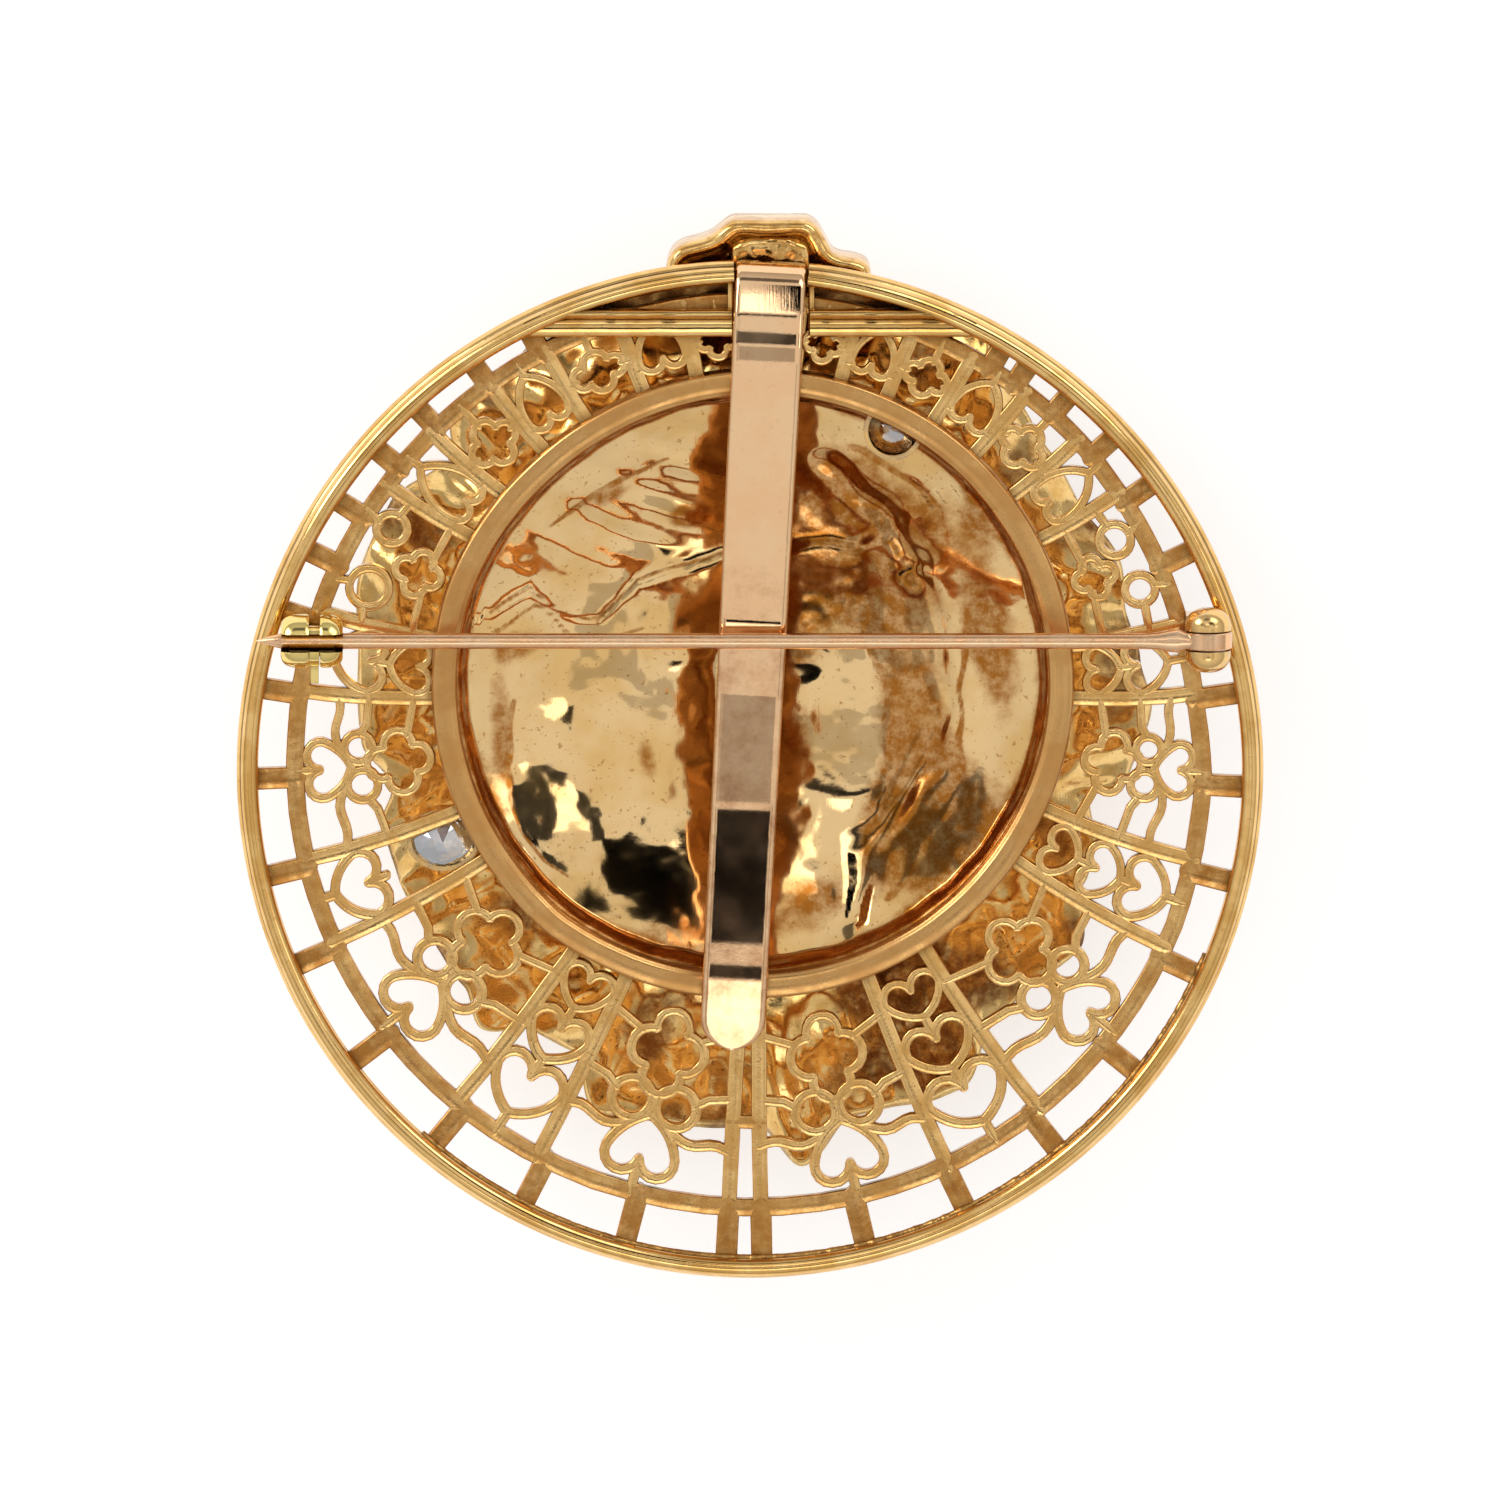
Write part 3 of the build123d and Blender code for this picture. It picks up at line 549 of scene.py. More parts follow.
# columns: level of a heart's lobes, level of its point, as shares of the band
CHAINS = {3: [(0.105, 0.35), (0.405, 0.645), (0.67, 0.915)], 2: [(0.11, 0.44), (0.48, 0.84)]}


def heart_chain(half, band, count):
    """Hearts one above the other, each with its point outward."""
    chain = CHAINS[count]
    strokes = []
    for lobes, point in chain:
        strokes += heart(point * band, lobes * band, min(half * 0.86, 0.72 * (point - lobes) * band))
    for (_, point), (lobes, end) in zip(chain, chain[1:] + [(1.0, 1.0)]):
        strokes.append([(0, point * band), (0, (lobes + 0.25 * (end - lobes)) * band)])
    return strokes


def single_heart(half, band):
    strokes = heart(0.87 * band, 0.21 * band, 0.8 * half, 0.3) + [[(0, 0.87 * band), (0, band)]]
    return strokes + [[(side * 0.75 * half, 0.3 * band), (side * half, 0.3 * band)] for side in (-1, 1)]


def cross(half, band):
    strokes = quatrefoil(0.49 * band, 0.78 * half, 0.27 * band)
    strokes += [[(side * 0.7 * half, 0.49 * band), (side * half, 0.49 * band)] for side in (-1, 1)]
    return strokes + [[(0, 0.74 * band), (0, band)]]


def ring_pair(half, band):
    """A quatrefoil with two rings outside it."""
    strokes = quatrefoil(0.39 * band, 3.7, 3.8)
    for side, rise, radius in ((-1, 0.76, 2.3), (1, 0.73, 2.7)):
        spot, rise = side * 4.5, rise * band
        strokes += [ring_stroke(spot, rise, radius), [(side * 2.7, 5.6), (side * half, 5.4)],
                    [(spot + side * radius, rise), (side * half, rise - 0.02 * band)],
                    [(spot, rise + radius), (spot + side * 0.6, band)]]
    return strokes


# columns: kind of sector, fan angle where it ends, going up from the double spokes at the bottom
RIGHT_SECTORS = [("rosette", 16.5), ("hearts3", 24.1), ("rosette", 40.5), ("hearts3", 48.9), ("rosette", 67.1),
                 ("hearts2", 76.3), ("pair", 98.3), ("heart", 110.0), ("cross", 123.6), ("heart", 137.2),
                 ("cross", 151.7), ("heart", 165.5), ("cross", 179.0), ("heart", 193.0)]
LEFT_SECTORS = [("rosette", -11.6), ("hearts3", -18.3), ("rosette", -33.4), ("stone", -40.6),
                ("rosette", -57.0), ("hearts2", -66.1), ("pair", -85.2), ("heart", -95.9), ("cross", -109.0),
                ("heart", -121.4), ("cross", -137.9), ("heart", -153.0), ("cross", -167.0)]
RIGHT_RUNGS = [9.8, 16.3, 23.3, 30.9, 39.5, 47.7, 56.6, 66.4, 74.2, 84.9, 96.4, 106.1, 116.9, 126.5, 132.7]
LEFT_RUNGS = [-4.5, -11.0, -17.6, -25.1, -32.9, -40.0, -48.2, -56.6, -64.9, -72.3, -79.5, -88.3, -96.9, -108.6,
              -120.3]
SEAM = (1.5, 3.6)


def motif(kind, turn, half):
    """The strokes of one sector round its middle."""
    band = middle_rise(turn)
    if kind == "stone":
        strokes = heart_chain(half, band, 3)[2:]
    elif kind.startswith("hearts"):
        strokes = heart_chain(half, band, int(kind[-1]))
    else:
        makers = {"rosette": rosette, "pair": ring_pair, "cross": cross, "heart": single_heart}
        strokes = makers[kind](half, band)
    return [[(turn + t, rise) for t, rise in stroke] for stroke in strokes]


def near_stone(path):
    """Whether a stroke would cross the stone in the gallery."""
    _, cx, cy, _, length, width = STONES[0]
    places = [fan_point(turn, rise) for turn, rise in path]
    return any(math.hypot((x - cx) / length, (y - cy) / width) < 0.56 for x, y in places)


def gallery_strokes():
    """Every stroke as its path in plan, its width in millimetres and its kind."""
    strokes = []

    def put(path, kind, width=None):
        turn, rise = path[len(path) // 2]
        scale = fan_scale(turn, rise)
        width = width or min(0.52, max(0.44, 0.95 * scale))
        strokes.append(([fan_point(t, r) for t, r in path], width, kind))

    spokes = list(SEAM)
    for table, start in ((RIGHT_SECTORS, SEAM[1]), (LEFT_SECTORS, SEAM[0])):
        for kind, end in table:
            low, high = sorted((start, end))
            for path in motif(kind, (low + high) / 2, (high - low) / 2):
                if not near_stone(path):
                    put(path, "motif")
            spokes.append(end)
            start = end
    for turn in spokes:
        put([(turn, -0.8 + step * (middle_rise(turn) + 0.8) / 6) for step in range(7)], "spoke", 0.78)
    for turn in list(SEAM) + RIGHT_RUNGS + LEFT_RUNGS:
        put([(turn, middle_rise(turn)), (turn, FAN_HEIGHT + 0.55)], "rung", 1.08)
    put([(turn, middle_rise(turn)) for turn in np.arange(-180, 180.1, 2.5)], "middle", 0.90)
    bridge = 0.57 * FAN_HEIGHT
    put([(SEAM[0], bridge), (SEAM[1], bridge)], "rung", 0.7)
    return strokes


def make_gallery():
    """The pierced gallery, cut from strokes with soft edges and small differences of level."""
    shapes, tarnish_and_shade = [], []
    amount = {"motif": 0.10, "spoke": 0.20, "rung": 0.44, "middle": 0.42}
    for index, (path, width, kind) in enumerate(gallery_strokes()):
        if kind != "middle":
            path, width = rounded_ends(path, width)
        lift = 0.0008 * (index % 7)
        points, faces = strip(path, width, SHEET[0] + lift, SHEET[1] + lift, 0.08)
        plan = points[:, :2]
        plan += 0.035 * np.stack([rough(*plan.T, 1.4, 3.0), rough(*plan.T, 1.4, 8.0)], axis=1)
        points[:, 2] += 0.03 * rough(*plan.T, 2.2, 5.0)
        shapes.append((points, faces))
        tarnish_and_shade.append(amount[kind] + 0.25 * smooth(23.0, 24.6, np.hypot(*plan.T)))
    add_piece("gallery_openwork", join(shapes), [openwork_gold], replaces=["gallery"], crease=50,
              tarnish_and_shade=np.concatenate(tarnish_and_shade))


def arc_places(radius, first, last, count):
    """Places along an arc round the rim's centre, in plan."""
    turns = np.radians(np.linspace(first, last, count))
    return radius * np.stack([np.cos(turns), np.sin(turns)], axis=1)


# The chord bar across the top: a broad flat tier below and a round lip above, as places along Y and Z
CHORD_PROFILE = [(21.93, 9.90), (21.92, 10.30), (21.97, 10.42), (22.08, 10.49), (22.45, 10.53), (22.72, 10.50),
                 (22.80, 10.44), (22.86, 10.50), (22.94, 10.64), (23.06, 10.72), (23.20, 10.68), (23.30, 10.54),
                 (23.33, 10.35), (23.33, 9.90)]

CHORD_CIRCLE = 25.3
# The web under the chord bar: its lower and upper edge along Y, its mean level and its underside
WEB_Y = (21.8, 24.9)
WEB_LEVEL = 8.92
WEB_FOOT = 8.72
CLIP_SLOT = (CLIP_X - SLOT_HALF, CLIP_X + SLOT_HALF)
CHEEK = 0.16


def top_bars(reach, gap, circle, count, section):
    """Two bars across the top beside the clip's slot, cut off by a circle round the rim's centre."""
    bars = []
    for start, end in ((-reach, CLIP_SLOT[0] - gap), (CLIP_SLOT[1] + gap, reach)):
        bars.append(loft([[(x, min(y, math.sqrt(circle ** 2 - x ** 2)), z) for y, z in section(x)]
                          for x in np.linspace(start, end, count)]))
    return bars


def chord_section(x):
    sway = 0.03 * noise.noise(Vector((x, 0.0, 2.0)))
    return [(y + sway, z + sway) for y, z in CHORD_PROFILE]


def web_section(x):
    rows = [(y, WEB_LEVEL + 0.16 * noise.noise(Vector((0.9 * x, 0.9 * y, 5.0))))
            for y in np.linspace(*WEB_Y, 14)]
    return rows + [(WEB_Y[1], WEB_FOOT), (WEB_Y[0], WEB_FOOT)]


def make_rim():
    """Two stacked wires, open at the clip's slot, with their solder seam, chord wires and cheeks."""
    shapes = []
    for (radius, level), thick, wobble in ((FRONT_WIRE, RIM_WIRE, 0.02), (BACK_WIRE, BACK_WIRE_RADIUS, 0.03)):
        first, last = [math.degrees(math.acos(x / radius)) for x in CLIP_SLOT]
        plan = arc_places(radius, first, last + 360, 420)
        levels = level + wobble * rough(*plan.T, 5.0, 1.0)
        radii = thick * (0.985 + 0.012 * rough(*plan.T, 3.0, 2.0))
        shapes.append(tube(np.column_stack([plan, levels]), radii, 24))
    shapes += top_bars(11.3, 0.1, CHORD_CIRCLE, 40, chord_section)
    for x in (CLIP_SLOT[0] - CHEEK, CLIP_SLOT[1] + CHEEK):
        shapes.append(strip([(x, CHORD_Y - 0.6), (x, BACK_WIRE[0] + 0.2)], 0.30, 9.1, 10.25, 0.07))
    add_piece("rim_wires", join(shapes), [rim_gold], replaces=["outer_rim"])

    plan = arc_places(SEAM_RADIUS, 228, 338, 500)
    bumps = rough(*plan.T, 0.5, 4.0) + 0.6 * rough(*plan.T, 0.22, 6.0)
    path = np.column_stack([plan * (1 + 0.0014 * bumps[:, None]), 9.98 + 0.06 * bumps])
    add_piece("rim_solder", tube(path, 0.20 + 0.07 * bumps, 10), [solder_gold])
    add_piece("rim_web", join(top_bars(11.2, 0.05, WEB_Y[1], 60, web_section)), [web_gold_shaded], crease=60)


def rounded_outline(points, rounds=2):
    """Cuts the corners of a closed outline until it is smooth."""
    points = np.asarray(points, dtype=float)
    for _ in range(rounds):
        after = np.roll(points, -1, axis=0)
        points = np.stack([0.75 * points + 0.25 * after, 0.25 * points + 0.75 * after], axis=1).reshape(-1, 2)
    return points


# The crest's outline, and its section from the outside over the rolled lip into the hollow: inset and level
CREST = [(-4.26, 22.8), (-4.26, 25.2), (-3.75, 26.25), (-2.3, 26.6), (-1.8, 26.85), (-1.05, 27.5),
         (-0.3, 27.68), (0.9, 27.5), (2.5, 27.68), (3.3, 27.35), (3.8, 26.5), (4.15, 25.75), (5.5, 25.6),
         (6.1, 25.1), (6.1, 22.8)]
CREST_SIDES = (-4.26, 6.1)
CREST_FOOT, CREST_TIP = 22.8, 27.55
CREST_SECTION = [(0.5, 4.12), (0.12, 4.35), (0.0, 5.0), (0.0, 8.25), (0.07, 8.48), (0.22, 8.63), (0.40, 8.66),
                 (0.60, 8.57), (0.74, 8.42), (0.84, 8.22), (1.0, 8.05), (1.3, 7.92), (1.7, 7.86)]


def make_crest():
    """The hollow crest with its rolled lip, and the rough block that the clip stands on."""
    outline = rounded_outline(CREST)
    inward = sideways(outline, True)
    sections = []
    for inset, level in CREST_SECTION:
        ring = outline + inset * inward
        ring[:, 0] = np.clip(ring[:, 0], CREST_SIDES[0] + 0.8 * inset, CREST_SIDES[1] - 0.8 * inset)
        ring[:, 1] = np.clip(ring[:, 1], CREST_FOOT + 0.8 * inset, CREST_TIP - 0.9 * inset)
        bumps = 0.05 * rough(*ring.T, 0.9, level)
        sections.append(np.column_stack([ring, level + bumps * (level < 8.7)]))
    add_piece("crest_shell", loft(sections), [tray_gold], replaces=["crest"], crease=180)

    arch = [(-2.0, 23.35), (-2.05, 26.1), (-1.9, 26.45), (-0.9, 26.72), (0.6, 26.76), (1.6, 26.55), (2.0, 26.2),
            (1.95, 23.35)]
    outline = rounded_outline([(CLIP_X + x, y) for x, y in arch])
    middle = np.array([CLIP_X, 25.0])
    sections = []
    for share, level in ((1.0, 5.2), (1.0, 8.0), (0.97, 8.22), (0.90, 8.34), (0.78, 8.38), (0.6, 8.36),
                         (0.42, 8.3), (0.22, 8.28), (0.06, 8.3)):
        ring = middle + share * (outline - middle)
        dents = 0.22 * rough(*ring.T, 0.55, 1.0) * (level > 8.1)
        sections.append(np.column_stack([ring, np.minimum(level + dents, 8.58)]))
    add_piece("clip_block", loft(sections), [tray_gold], replaces=["clip_mount"], crease=180)


def make_ring():
    """The inner ring: a turned band with soft edges, a little uneven from hand work."""
    radius, hole = RING_RADIUS, RING_HOLE
    profile = [(hole, RING_BOTTOM + 0.05), (hole, 10.28), (hole + 0.02, 10.42), (hole + 0.08, 10.48),
               (hole + 0.17, 10.50), (hole + 0.22, 10.54), (hole + 0.30, RING_TOP - 0.02),
               (0.5 * (hole + radius), RING_TOP - 0.01), (radius - 0.18, RING_TOP - 0.03),
               (radius - 0.08, RING_TOP - 0.07), (radius - 0.02, 10.42), (radius, 10.25),
               (radius, RING_BOTTOM + 0.05), (radius - 0.1, RING_BOTTOM), (hole + 0.1, RING_BOTTOM)]
    sections = []
    for turn in np.linspace(0, math.tau, 300, endpoint=False):
        c, s = math.cos(turn), math.sin(turn)
        swell = float(ring_swell(c, s))
        wobble = 0.03 * noise.noise(Vector((3 * c, 3 * s, 0.0)))
        wobble += 0.012 * noise.noise(Vector((9 * c, 9 * s, 4.0)))
        sections.append([(RING_CENTRE[0] + (r + swell + wobble) * c, RING_CENTRE[1] + (r + swell + wobble) * s,
                          z + (wobble if z > 10 else 0.0) - 0.02) for r, z in profile])
    add_piece("ring_band", loft(sections, True), [ring_gold], replaces=["inner_ring"], crease=60)


# Relief. Places are from the ring's centre.

# lines chased into the sheet, the first of them the brow of the hair
CHASED = [[(-13.4, 3.3), (-11.4, 4.5), (-9.8, 3.1), (-8.0, 2.8), (-6.0, 4.9), (-4.0, 5.2), (-1.0, 6.2),
           (2.5, 6.4), (5.0, 6.6), (7.4, 8.0)],
          [(-13.2, 2.2), (-11.0, 3.5), (-9.4, 2.1), (-7.4, 1.5), (-5.8, 2.2)],
          [(-12.2, -1.2), (-12.9, -4.6), (-11.6, -8.0), (-9.6, -10.0)],
          [(10.6, 3.4), (10.0, -1.0), (10.3, -4.4), (8.2, -8.2), (6.6, -11.4)],
          [(4.6, 11.6), (6.6, 10.6), (8.8, 8.4), (9.4, 5.4)], [(-10.6, 7.4), (-8.2, 9.4), (-4.6, 10.9)],
          [(-1.6, 2.8), (2.8, 3.6), (5.4, 2.2), (6.8, -1.2), (6.4, -4.6)]]
FOLD = [(7.6, 5.0), (8.6, 2.2), (9.0, -1.6), (8.4, -4.6), (6.4, -7.2), (5.2, -9.4), (5.0, -12.2)]
RIDGE = [(3.4, 10.8), (5.0, 9.2), (6.6, 7.6), (7.6, 6.2)]

# columns: x, y, half sizes, turn in degrees, strength of brown stain in the bowl
STAINS = [(3.6, 8.6, 3.4, 3.2, 10, 0.75), (5.6, 4.4, 3.0, 2.0, -20, 0.85), (8.4, 7.6, 1.2, 2.2, 20, 0.4),
          (7.8, -2.6, 1.7, 4.6, 6, 0.75), (6.8, -7.6, 1.8, 2.6, -30, 0.7), (-3.4, 8.0, 1.1, 0.7, 10, 0.8),
          (-7.6, 9.0, 1.6, 0.5, 25, 0.5), (-12.0, 1.6, 1.2, 0.8, 20, 0.6), (11.6, 2.0, 1.3, 4.0, 12, 0.7),
          (1.4, 2.6, 2.4, 2.6, 0, 0.6), (-13.0, -3.0, 0.7, 4.0, 0, 0.45), (9.6, -8.0, 3.4, 2.6, 50, 0.75),
          (-2.0, -12.8, 5.0, 0.8, 0, 0.45), (2.0, -3.4, 1.2, 2.6, 0, 0.4), (-5.6, -4.4, 0.6, 1.4, 10, 0.45),
          (11.0, 8.0, 1.4, 1.2, -40, 0.5), (-9.8, 12.0, 3.0, 0.7, 38, 0.4), (2.6, -11.2, 2.2, 1.2, 0, 0.5)]
# columns: x, y, half sizes, depth of a form, as a share of the head's depth
FACE_FORMS = [(-0.8, -1.4, 0.75, 2.3, 0.16), (-0.8, -3.2, 1.1, 0.8, 0.10), (-3.2, 0.4, 1.4, 0.8, -0.07),
              (1.6, 0.4, 1.4, 0.8, -0.07), (-0.8, -5.2, 1.7, 0.5, 0.05), (-0.8, -8.4, 1.9, 1.2, 0.07)]
BOWL_FORMS = [(-0.8, -1.4, 1.0, 2.3, 0.045), (-0.8, -3.2, 1.3, 0.8, 0.02), (-3.2, 0.4, 1.5, 0.8, -0.016),
              (1.6, 0.4, 1.5, 0.8, -0.016), (-0.8, -5.2, 1.7, 0.5, 0.010), (-0.8, -8.4, 1.9, 1.2, 0.016),
              (8.0, 5.6, 0.75, 0.75, 0.036), (8.2, 5.2, 0.25, 0.25, -0.02), (-8.6, -4.4, 1.7, 2.6, -0.014),
              (-10.2, -7.0, 1.3, 1.6, -0.010), (-9.4, -1.2, 1.6, 1.3, 0.012), (4.2, -8.4, 2.4, 1.5, -0.012)]


def forms(x, y, table):
    """Sum of the soft mounds of a table."""
    return sum(height * mound(x, y, *place) for *place, height in table)


def broad_face(x, y, surround, middle, table):
    """The wide forms of a face and the smaller ones of a table."""
    face = np.hypot((x + 0.8) / 6.4, (y + 1.9) / 8.2)
    wide = surround * np.exp(-((face - 1.32) / 0.32) ** 2) + middle * np.exp(-(face / 0.8) ** 2)
    return wide + forms(x, y, table)


def face_drop(x, y):
    """How far the front of the head lies under the ring's foot: a plain face, broad and still."""
    share = np.hypot(x, y) / (RING_HOLE - 0.05 + ring_swell(x, y))
    drop = 0.80 * (1 - share ** 10) + broad_face(x, y, 0.12, 0.08, FACE_FORMS)
    drop += 0.14 * smooth(5.2, 6.4, y - 0.12 * x) + 0.01 * rough(x, y, 2.0, 2.0)
    return BOWL_EDGE * np.minimum(drop * (1 - smooth(0.80, 1.0, share)), 1.0)


def bowl_drop(x, y):
    """How far the hollow of the head lies under the ring's foot."""
    share = np.hypot(x, y) / (RING_HOLE - 0.02 + ring_swell(x, y))
    u, v = swayed(x, y)
    drop = 0.11 + 0.38 * (1 - share ** 2) + broad_face(x, y, 0.016, 0.02, BOWL_FORMS)
    side = along_line(u, v, CHASED[0])[1]
    drop += 0.018 * smooth(-0.45, 0.45, side)
    across = 0.46 * x + 0.89 * y + 0.5 * np.sin(0.4 * x - 0.2 * y)
    locks = np.sin(2.1 * across + 0.8) + 0.4 * np.sin(4.7 * across + 0.3 * x)
    drop += 0.008 * locks * smooth(0.4, 1.6, side) * mound(x, y, -6.8, 8.0, 6.5, 3.6, 28)
    for index, line in enumerate(CHASED):
        drop += (0.0035, 0.0, 0.002)[min(index, 2)] * near_line(u, v, line, 0.26)
    across = 2.2 * along_line(u, v, FOLD)[1] + 1.5 * rough(x, y, 2.4, 7.0)
    drop += 0.012 * np.cos(across) * near_line(u, v, FOLD, 1.3)
    drop += 0.012 * np.cos(2.4 * along_line(u, v, RIDGE)[1]) * near_line(u, v, RIDGE, 1.0)
    drop += 0.014 * rough(x, y, 4.6, 1.0) + 0.0060 * rough(x, y, 2.2, 2.0) + 0.0012 * rough(x, y, 0.8, 3.0)
    wall = 1 - smooth(0.965, 1.0, share + 0.006 * rough(x, y, 1.5, 6.0))
    return BOWL_DEPTH * np.clip(drop, 0.0, 1.0) * wall


def shell_faces(rows, columns, joined):
    """Faces of a back grid and a front grid, with a strip between them along each of the joined rows."""
    size = rows * columns
    faces = grid_faces(rows, columns) + grid_faces(rows, columns, True, size)
    for row in joined:
        for col in range(columns):
            a, b = row * columns + col, row * columns + (col + 1) % columns
            quad = [a, a + size, b + size, b]
            faces.append(quad if row else quad[::-1])
    return faces


def make_bowl():
    """The hollow back of the head, chased from a thin sheet, with a plain lip inside the ring."""
    columns, rows = 288, 110
    turns = np.linspace(0, math.tau, columns, endpoint=False)
    radius = (RING_HOLE - 0.05 + ring_swell(np.cos(turns), np.sin(turns)))[None]
    shares = np.sin(0.5 * math.pi * np.linspace(0, 1, rows))
    shares[0] = 0.002
    x = radius * shares[:, None] * np.cos(turns)[None]
    y = radius * shares[:, None] * np.sin(turns)[None]
    z = BOWL_EDGE - bowl_drop(x, y)
    back = np.stack([RING_CENTRE[0] + x, RING_CENTRE[1] + y, z], axis=2)
    lip = back[-1:].copy()
    lip[..., 2] = LIP_TOP
    back = np.concatenate([back, lip])
    front = back.copy()
    front[:-1, :, :2] += 0.06 * (back[:-1, :, :2] - RING_CENTRE[:2]) / RING_HOLE
    front[:-1, :, 2] = np.maximum(np.minimum(BOWL_EDGE - face_drop(x, y), z - BOWL_SHEET), 0.0)
    front[-1] = lip[0] + 0.08 * np.stack([np.cos(turns), np.sin(turns), 0 * turns], axis=1)
    points = np.stack([back, front]).reshape(-1, 3)
    faces = shell_faces(rows + 1, columns, [rows])
    faces.append(list(range(columns)))
    faces.append([(rows + 1) * columns + index for index in range(columns)][::-1])
    u, v = points[:, 0] - RING_CENTRE[0], points[:, 1] - RING_CENTRE[1]
    stain = 1.25 * forms(u, v, STAINS)
    # Painted shade: thin dark lines along the chased lines, for the shaded side of their ridges.
    for line in CHASED:
        stain += 0.65 * near_line(*swayed(u, v), line, 0.13)
    # Painted shade: a dark band where the hollow drops to its wall inside the ring.
    stain += 0.6 * smooth(0.93, 0.99, np.hypot(u, v) / (RING_HOLE + ring_swell(u, v)))
    add_piece("head_relief", (points, faces), [bowl_gold], replaces=["head_shell"], crease=180, tarnish_and_shade=stain)


# columns: direction from the ring's centre, reach of the hair as a share of the rim's radius
HAIR = [(-90, 0.899), (-85, 0.975), (-78, 0.895), (-64, 0.911), (-57, 0.838), (-50, 0.817), (-41, 0.830),
        (-33, 0.759), (-28, 0.743), (-21, 0.695), (-16, 0.752), (-5, 0.770), (2, 0.745), (10, 0.726),
        (17, 0.739), (28, 0.708), (38, 0.714), (48, 0.737), (58, 0.800), (68, 0.810), (90, 0.795),
        (112, 0.800), (122, 0.785), (133, 0.770), (140, 0.781), (145, 0.735), (155, 0.794), (166, 0.804),
        (178, 0.783), (190, 0.788), (197, 0.751), (203, 0.802), (216, 0.822), (227, 0.847), (232, 0.887),
        (238, 0.830), (244, 0.833), (250, 0.930), (256, 0.913), (263, 0.906), (270, 0.899)]


def make_hair():
    """The curly hair round the head, seen from its hollow back through the gallery."""
    columns, rows = 720, 22
    angles = np.arange(columns) * 360 / columns
    c, s = np.cos(np.radians(angles)), np.sin(np.radians(angles))
    start = RING_HOLE + 0.25 + ring_swell(c, s)
    reach = RIM_RADIUS * np.array([soft_table(HAIR, (angle + 90) % 360 - 90) for angle in angles])
    share = np.linspace(0, 1, rows)[:, None]
    distance = start + (reach - start) * share
    x, y = distance * c, distance * s
    bend = angles + 7 * share * np.sin(np.radians(angles * 5))
    lock = np.sin(np.radians(bend * 13)) + 0.5 * np.sin(np.radians(bend * 29 + 40))
    curls = np.abs(np.sin(np.radians(bend * 33)) * np.cos(0.9 * distance)) - 0.4
    z = RING_BOTTOM - 0.7 - 2.6 * share ** 1.4 - 0.45 * lock * share - 0.28 * curls * share
    z += 0.14 * rough(x, y, 1.1, 2.0)
    back = np.stack([RING_CENTRE[0] + x, RING_CENTRE[1] + y, z], axis=2)
    normal = np.cross(np.gradient(back, axis=0), np.roll(back, -1, axis=1) - np.roll(back, 1, axis=1))
    normal /= np.linalg.norm(normal, axis=2, keepdims=True)
    front = back - HAIR_SHEET * normal
    points = np.stack([back, front]).reshape(-1, 3)
    faces = shell_faces(rows, columns, [rows - 1, 0])
    plan = points[:, :2].T
    stain = 0.55 * smooth(0.1, 0.9, rough(*plan, 3.4, 9.0) + 0.35)
    stain += 2.0 * mound(*plan, 8.3, -11.6, 2.2, 3.2, 20)
    add_piece("hair_sheet", (points, faces), [hair_gold], replaces=["hair_frame"], crease=180, tarnish_and_shade=stain)


# columns: place along Y, slope of the strip in degrees from there on toward its end
TONGUE_SLOPES = [(24.5, -17.0), (23.2, -13.0), (22.95, -7.5), (22.3, -7.5), (22.15, -10.0), (21.65, -10.0),
                 (21.5, -4.5), (20.9, -4.5), (20.7, -0.8), (7.85, -0.6), (7.7, 8.4), (7.35, 8.4), (7.2, -0.6),
                 (4.15, -0.6), (4.0, -5.0), (-1.2, -5.0), (-1.75, 2.6), (-8.25, 3.8), (-8.5, 5.6), (-9.45, 5.6),
                 (-9.65, 4.0), (-10.15, 4.0), (-10.4, 7.6), (-13.9, 8.6)]
TONGUE_END = -13.9
TONGUE_BEND = 1.1
TONGUE_HALF = (1.63, 1.75)
TONGUE_THICK = 0.34


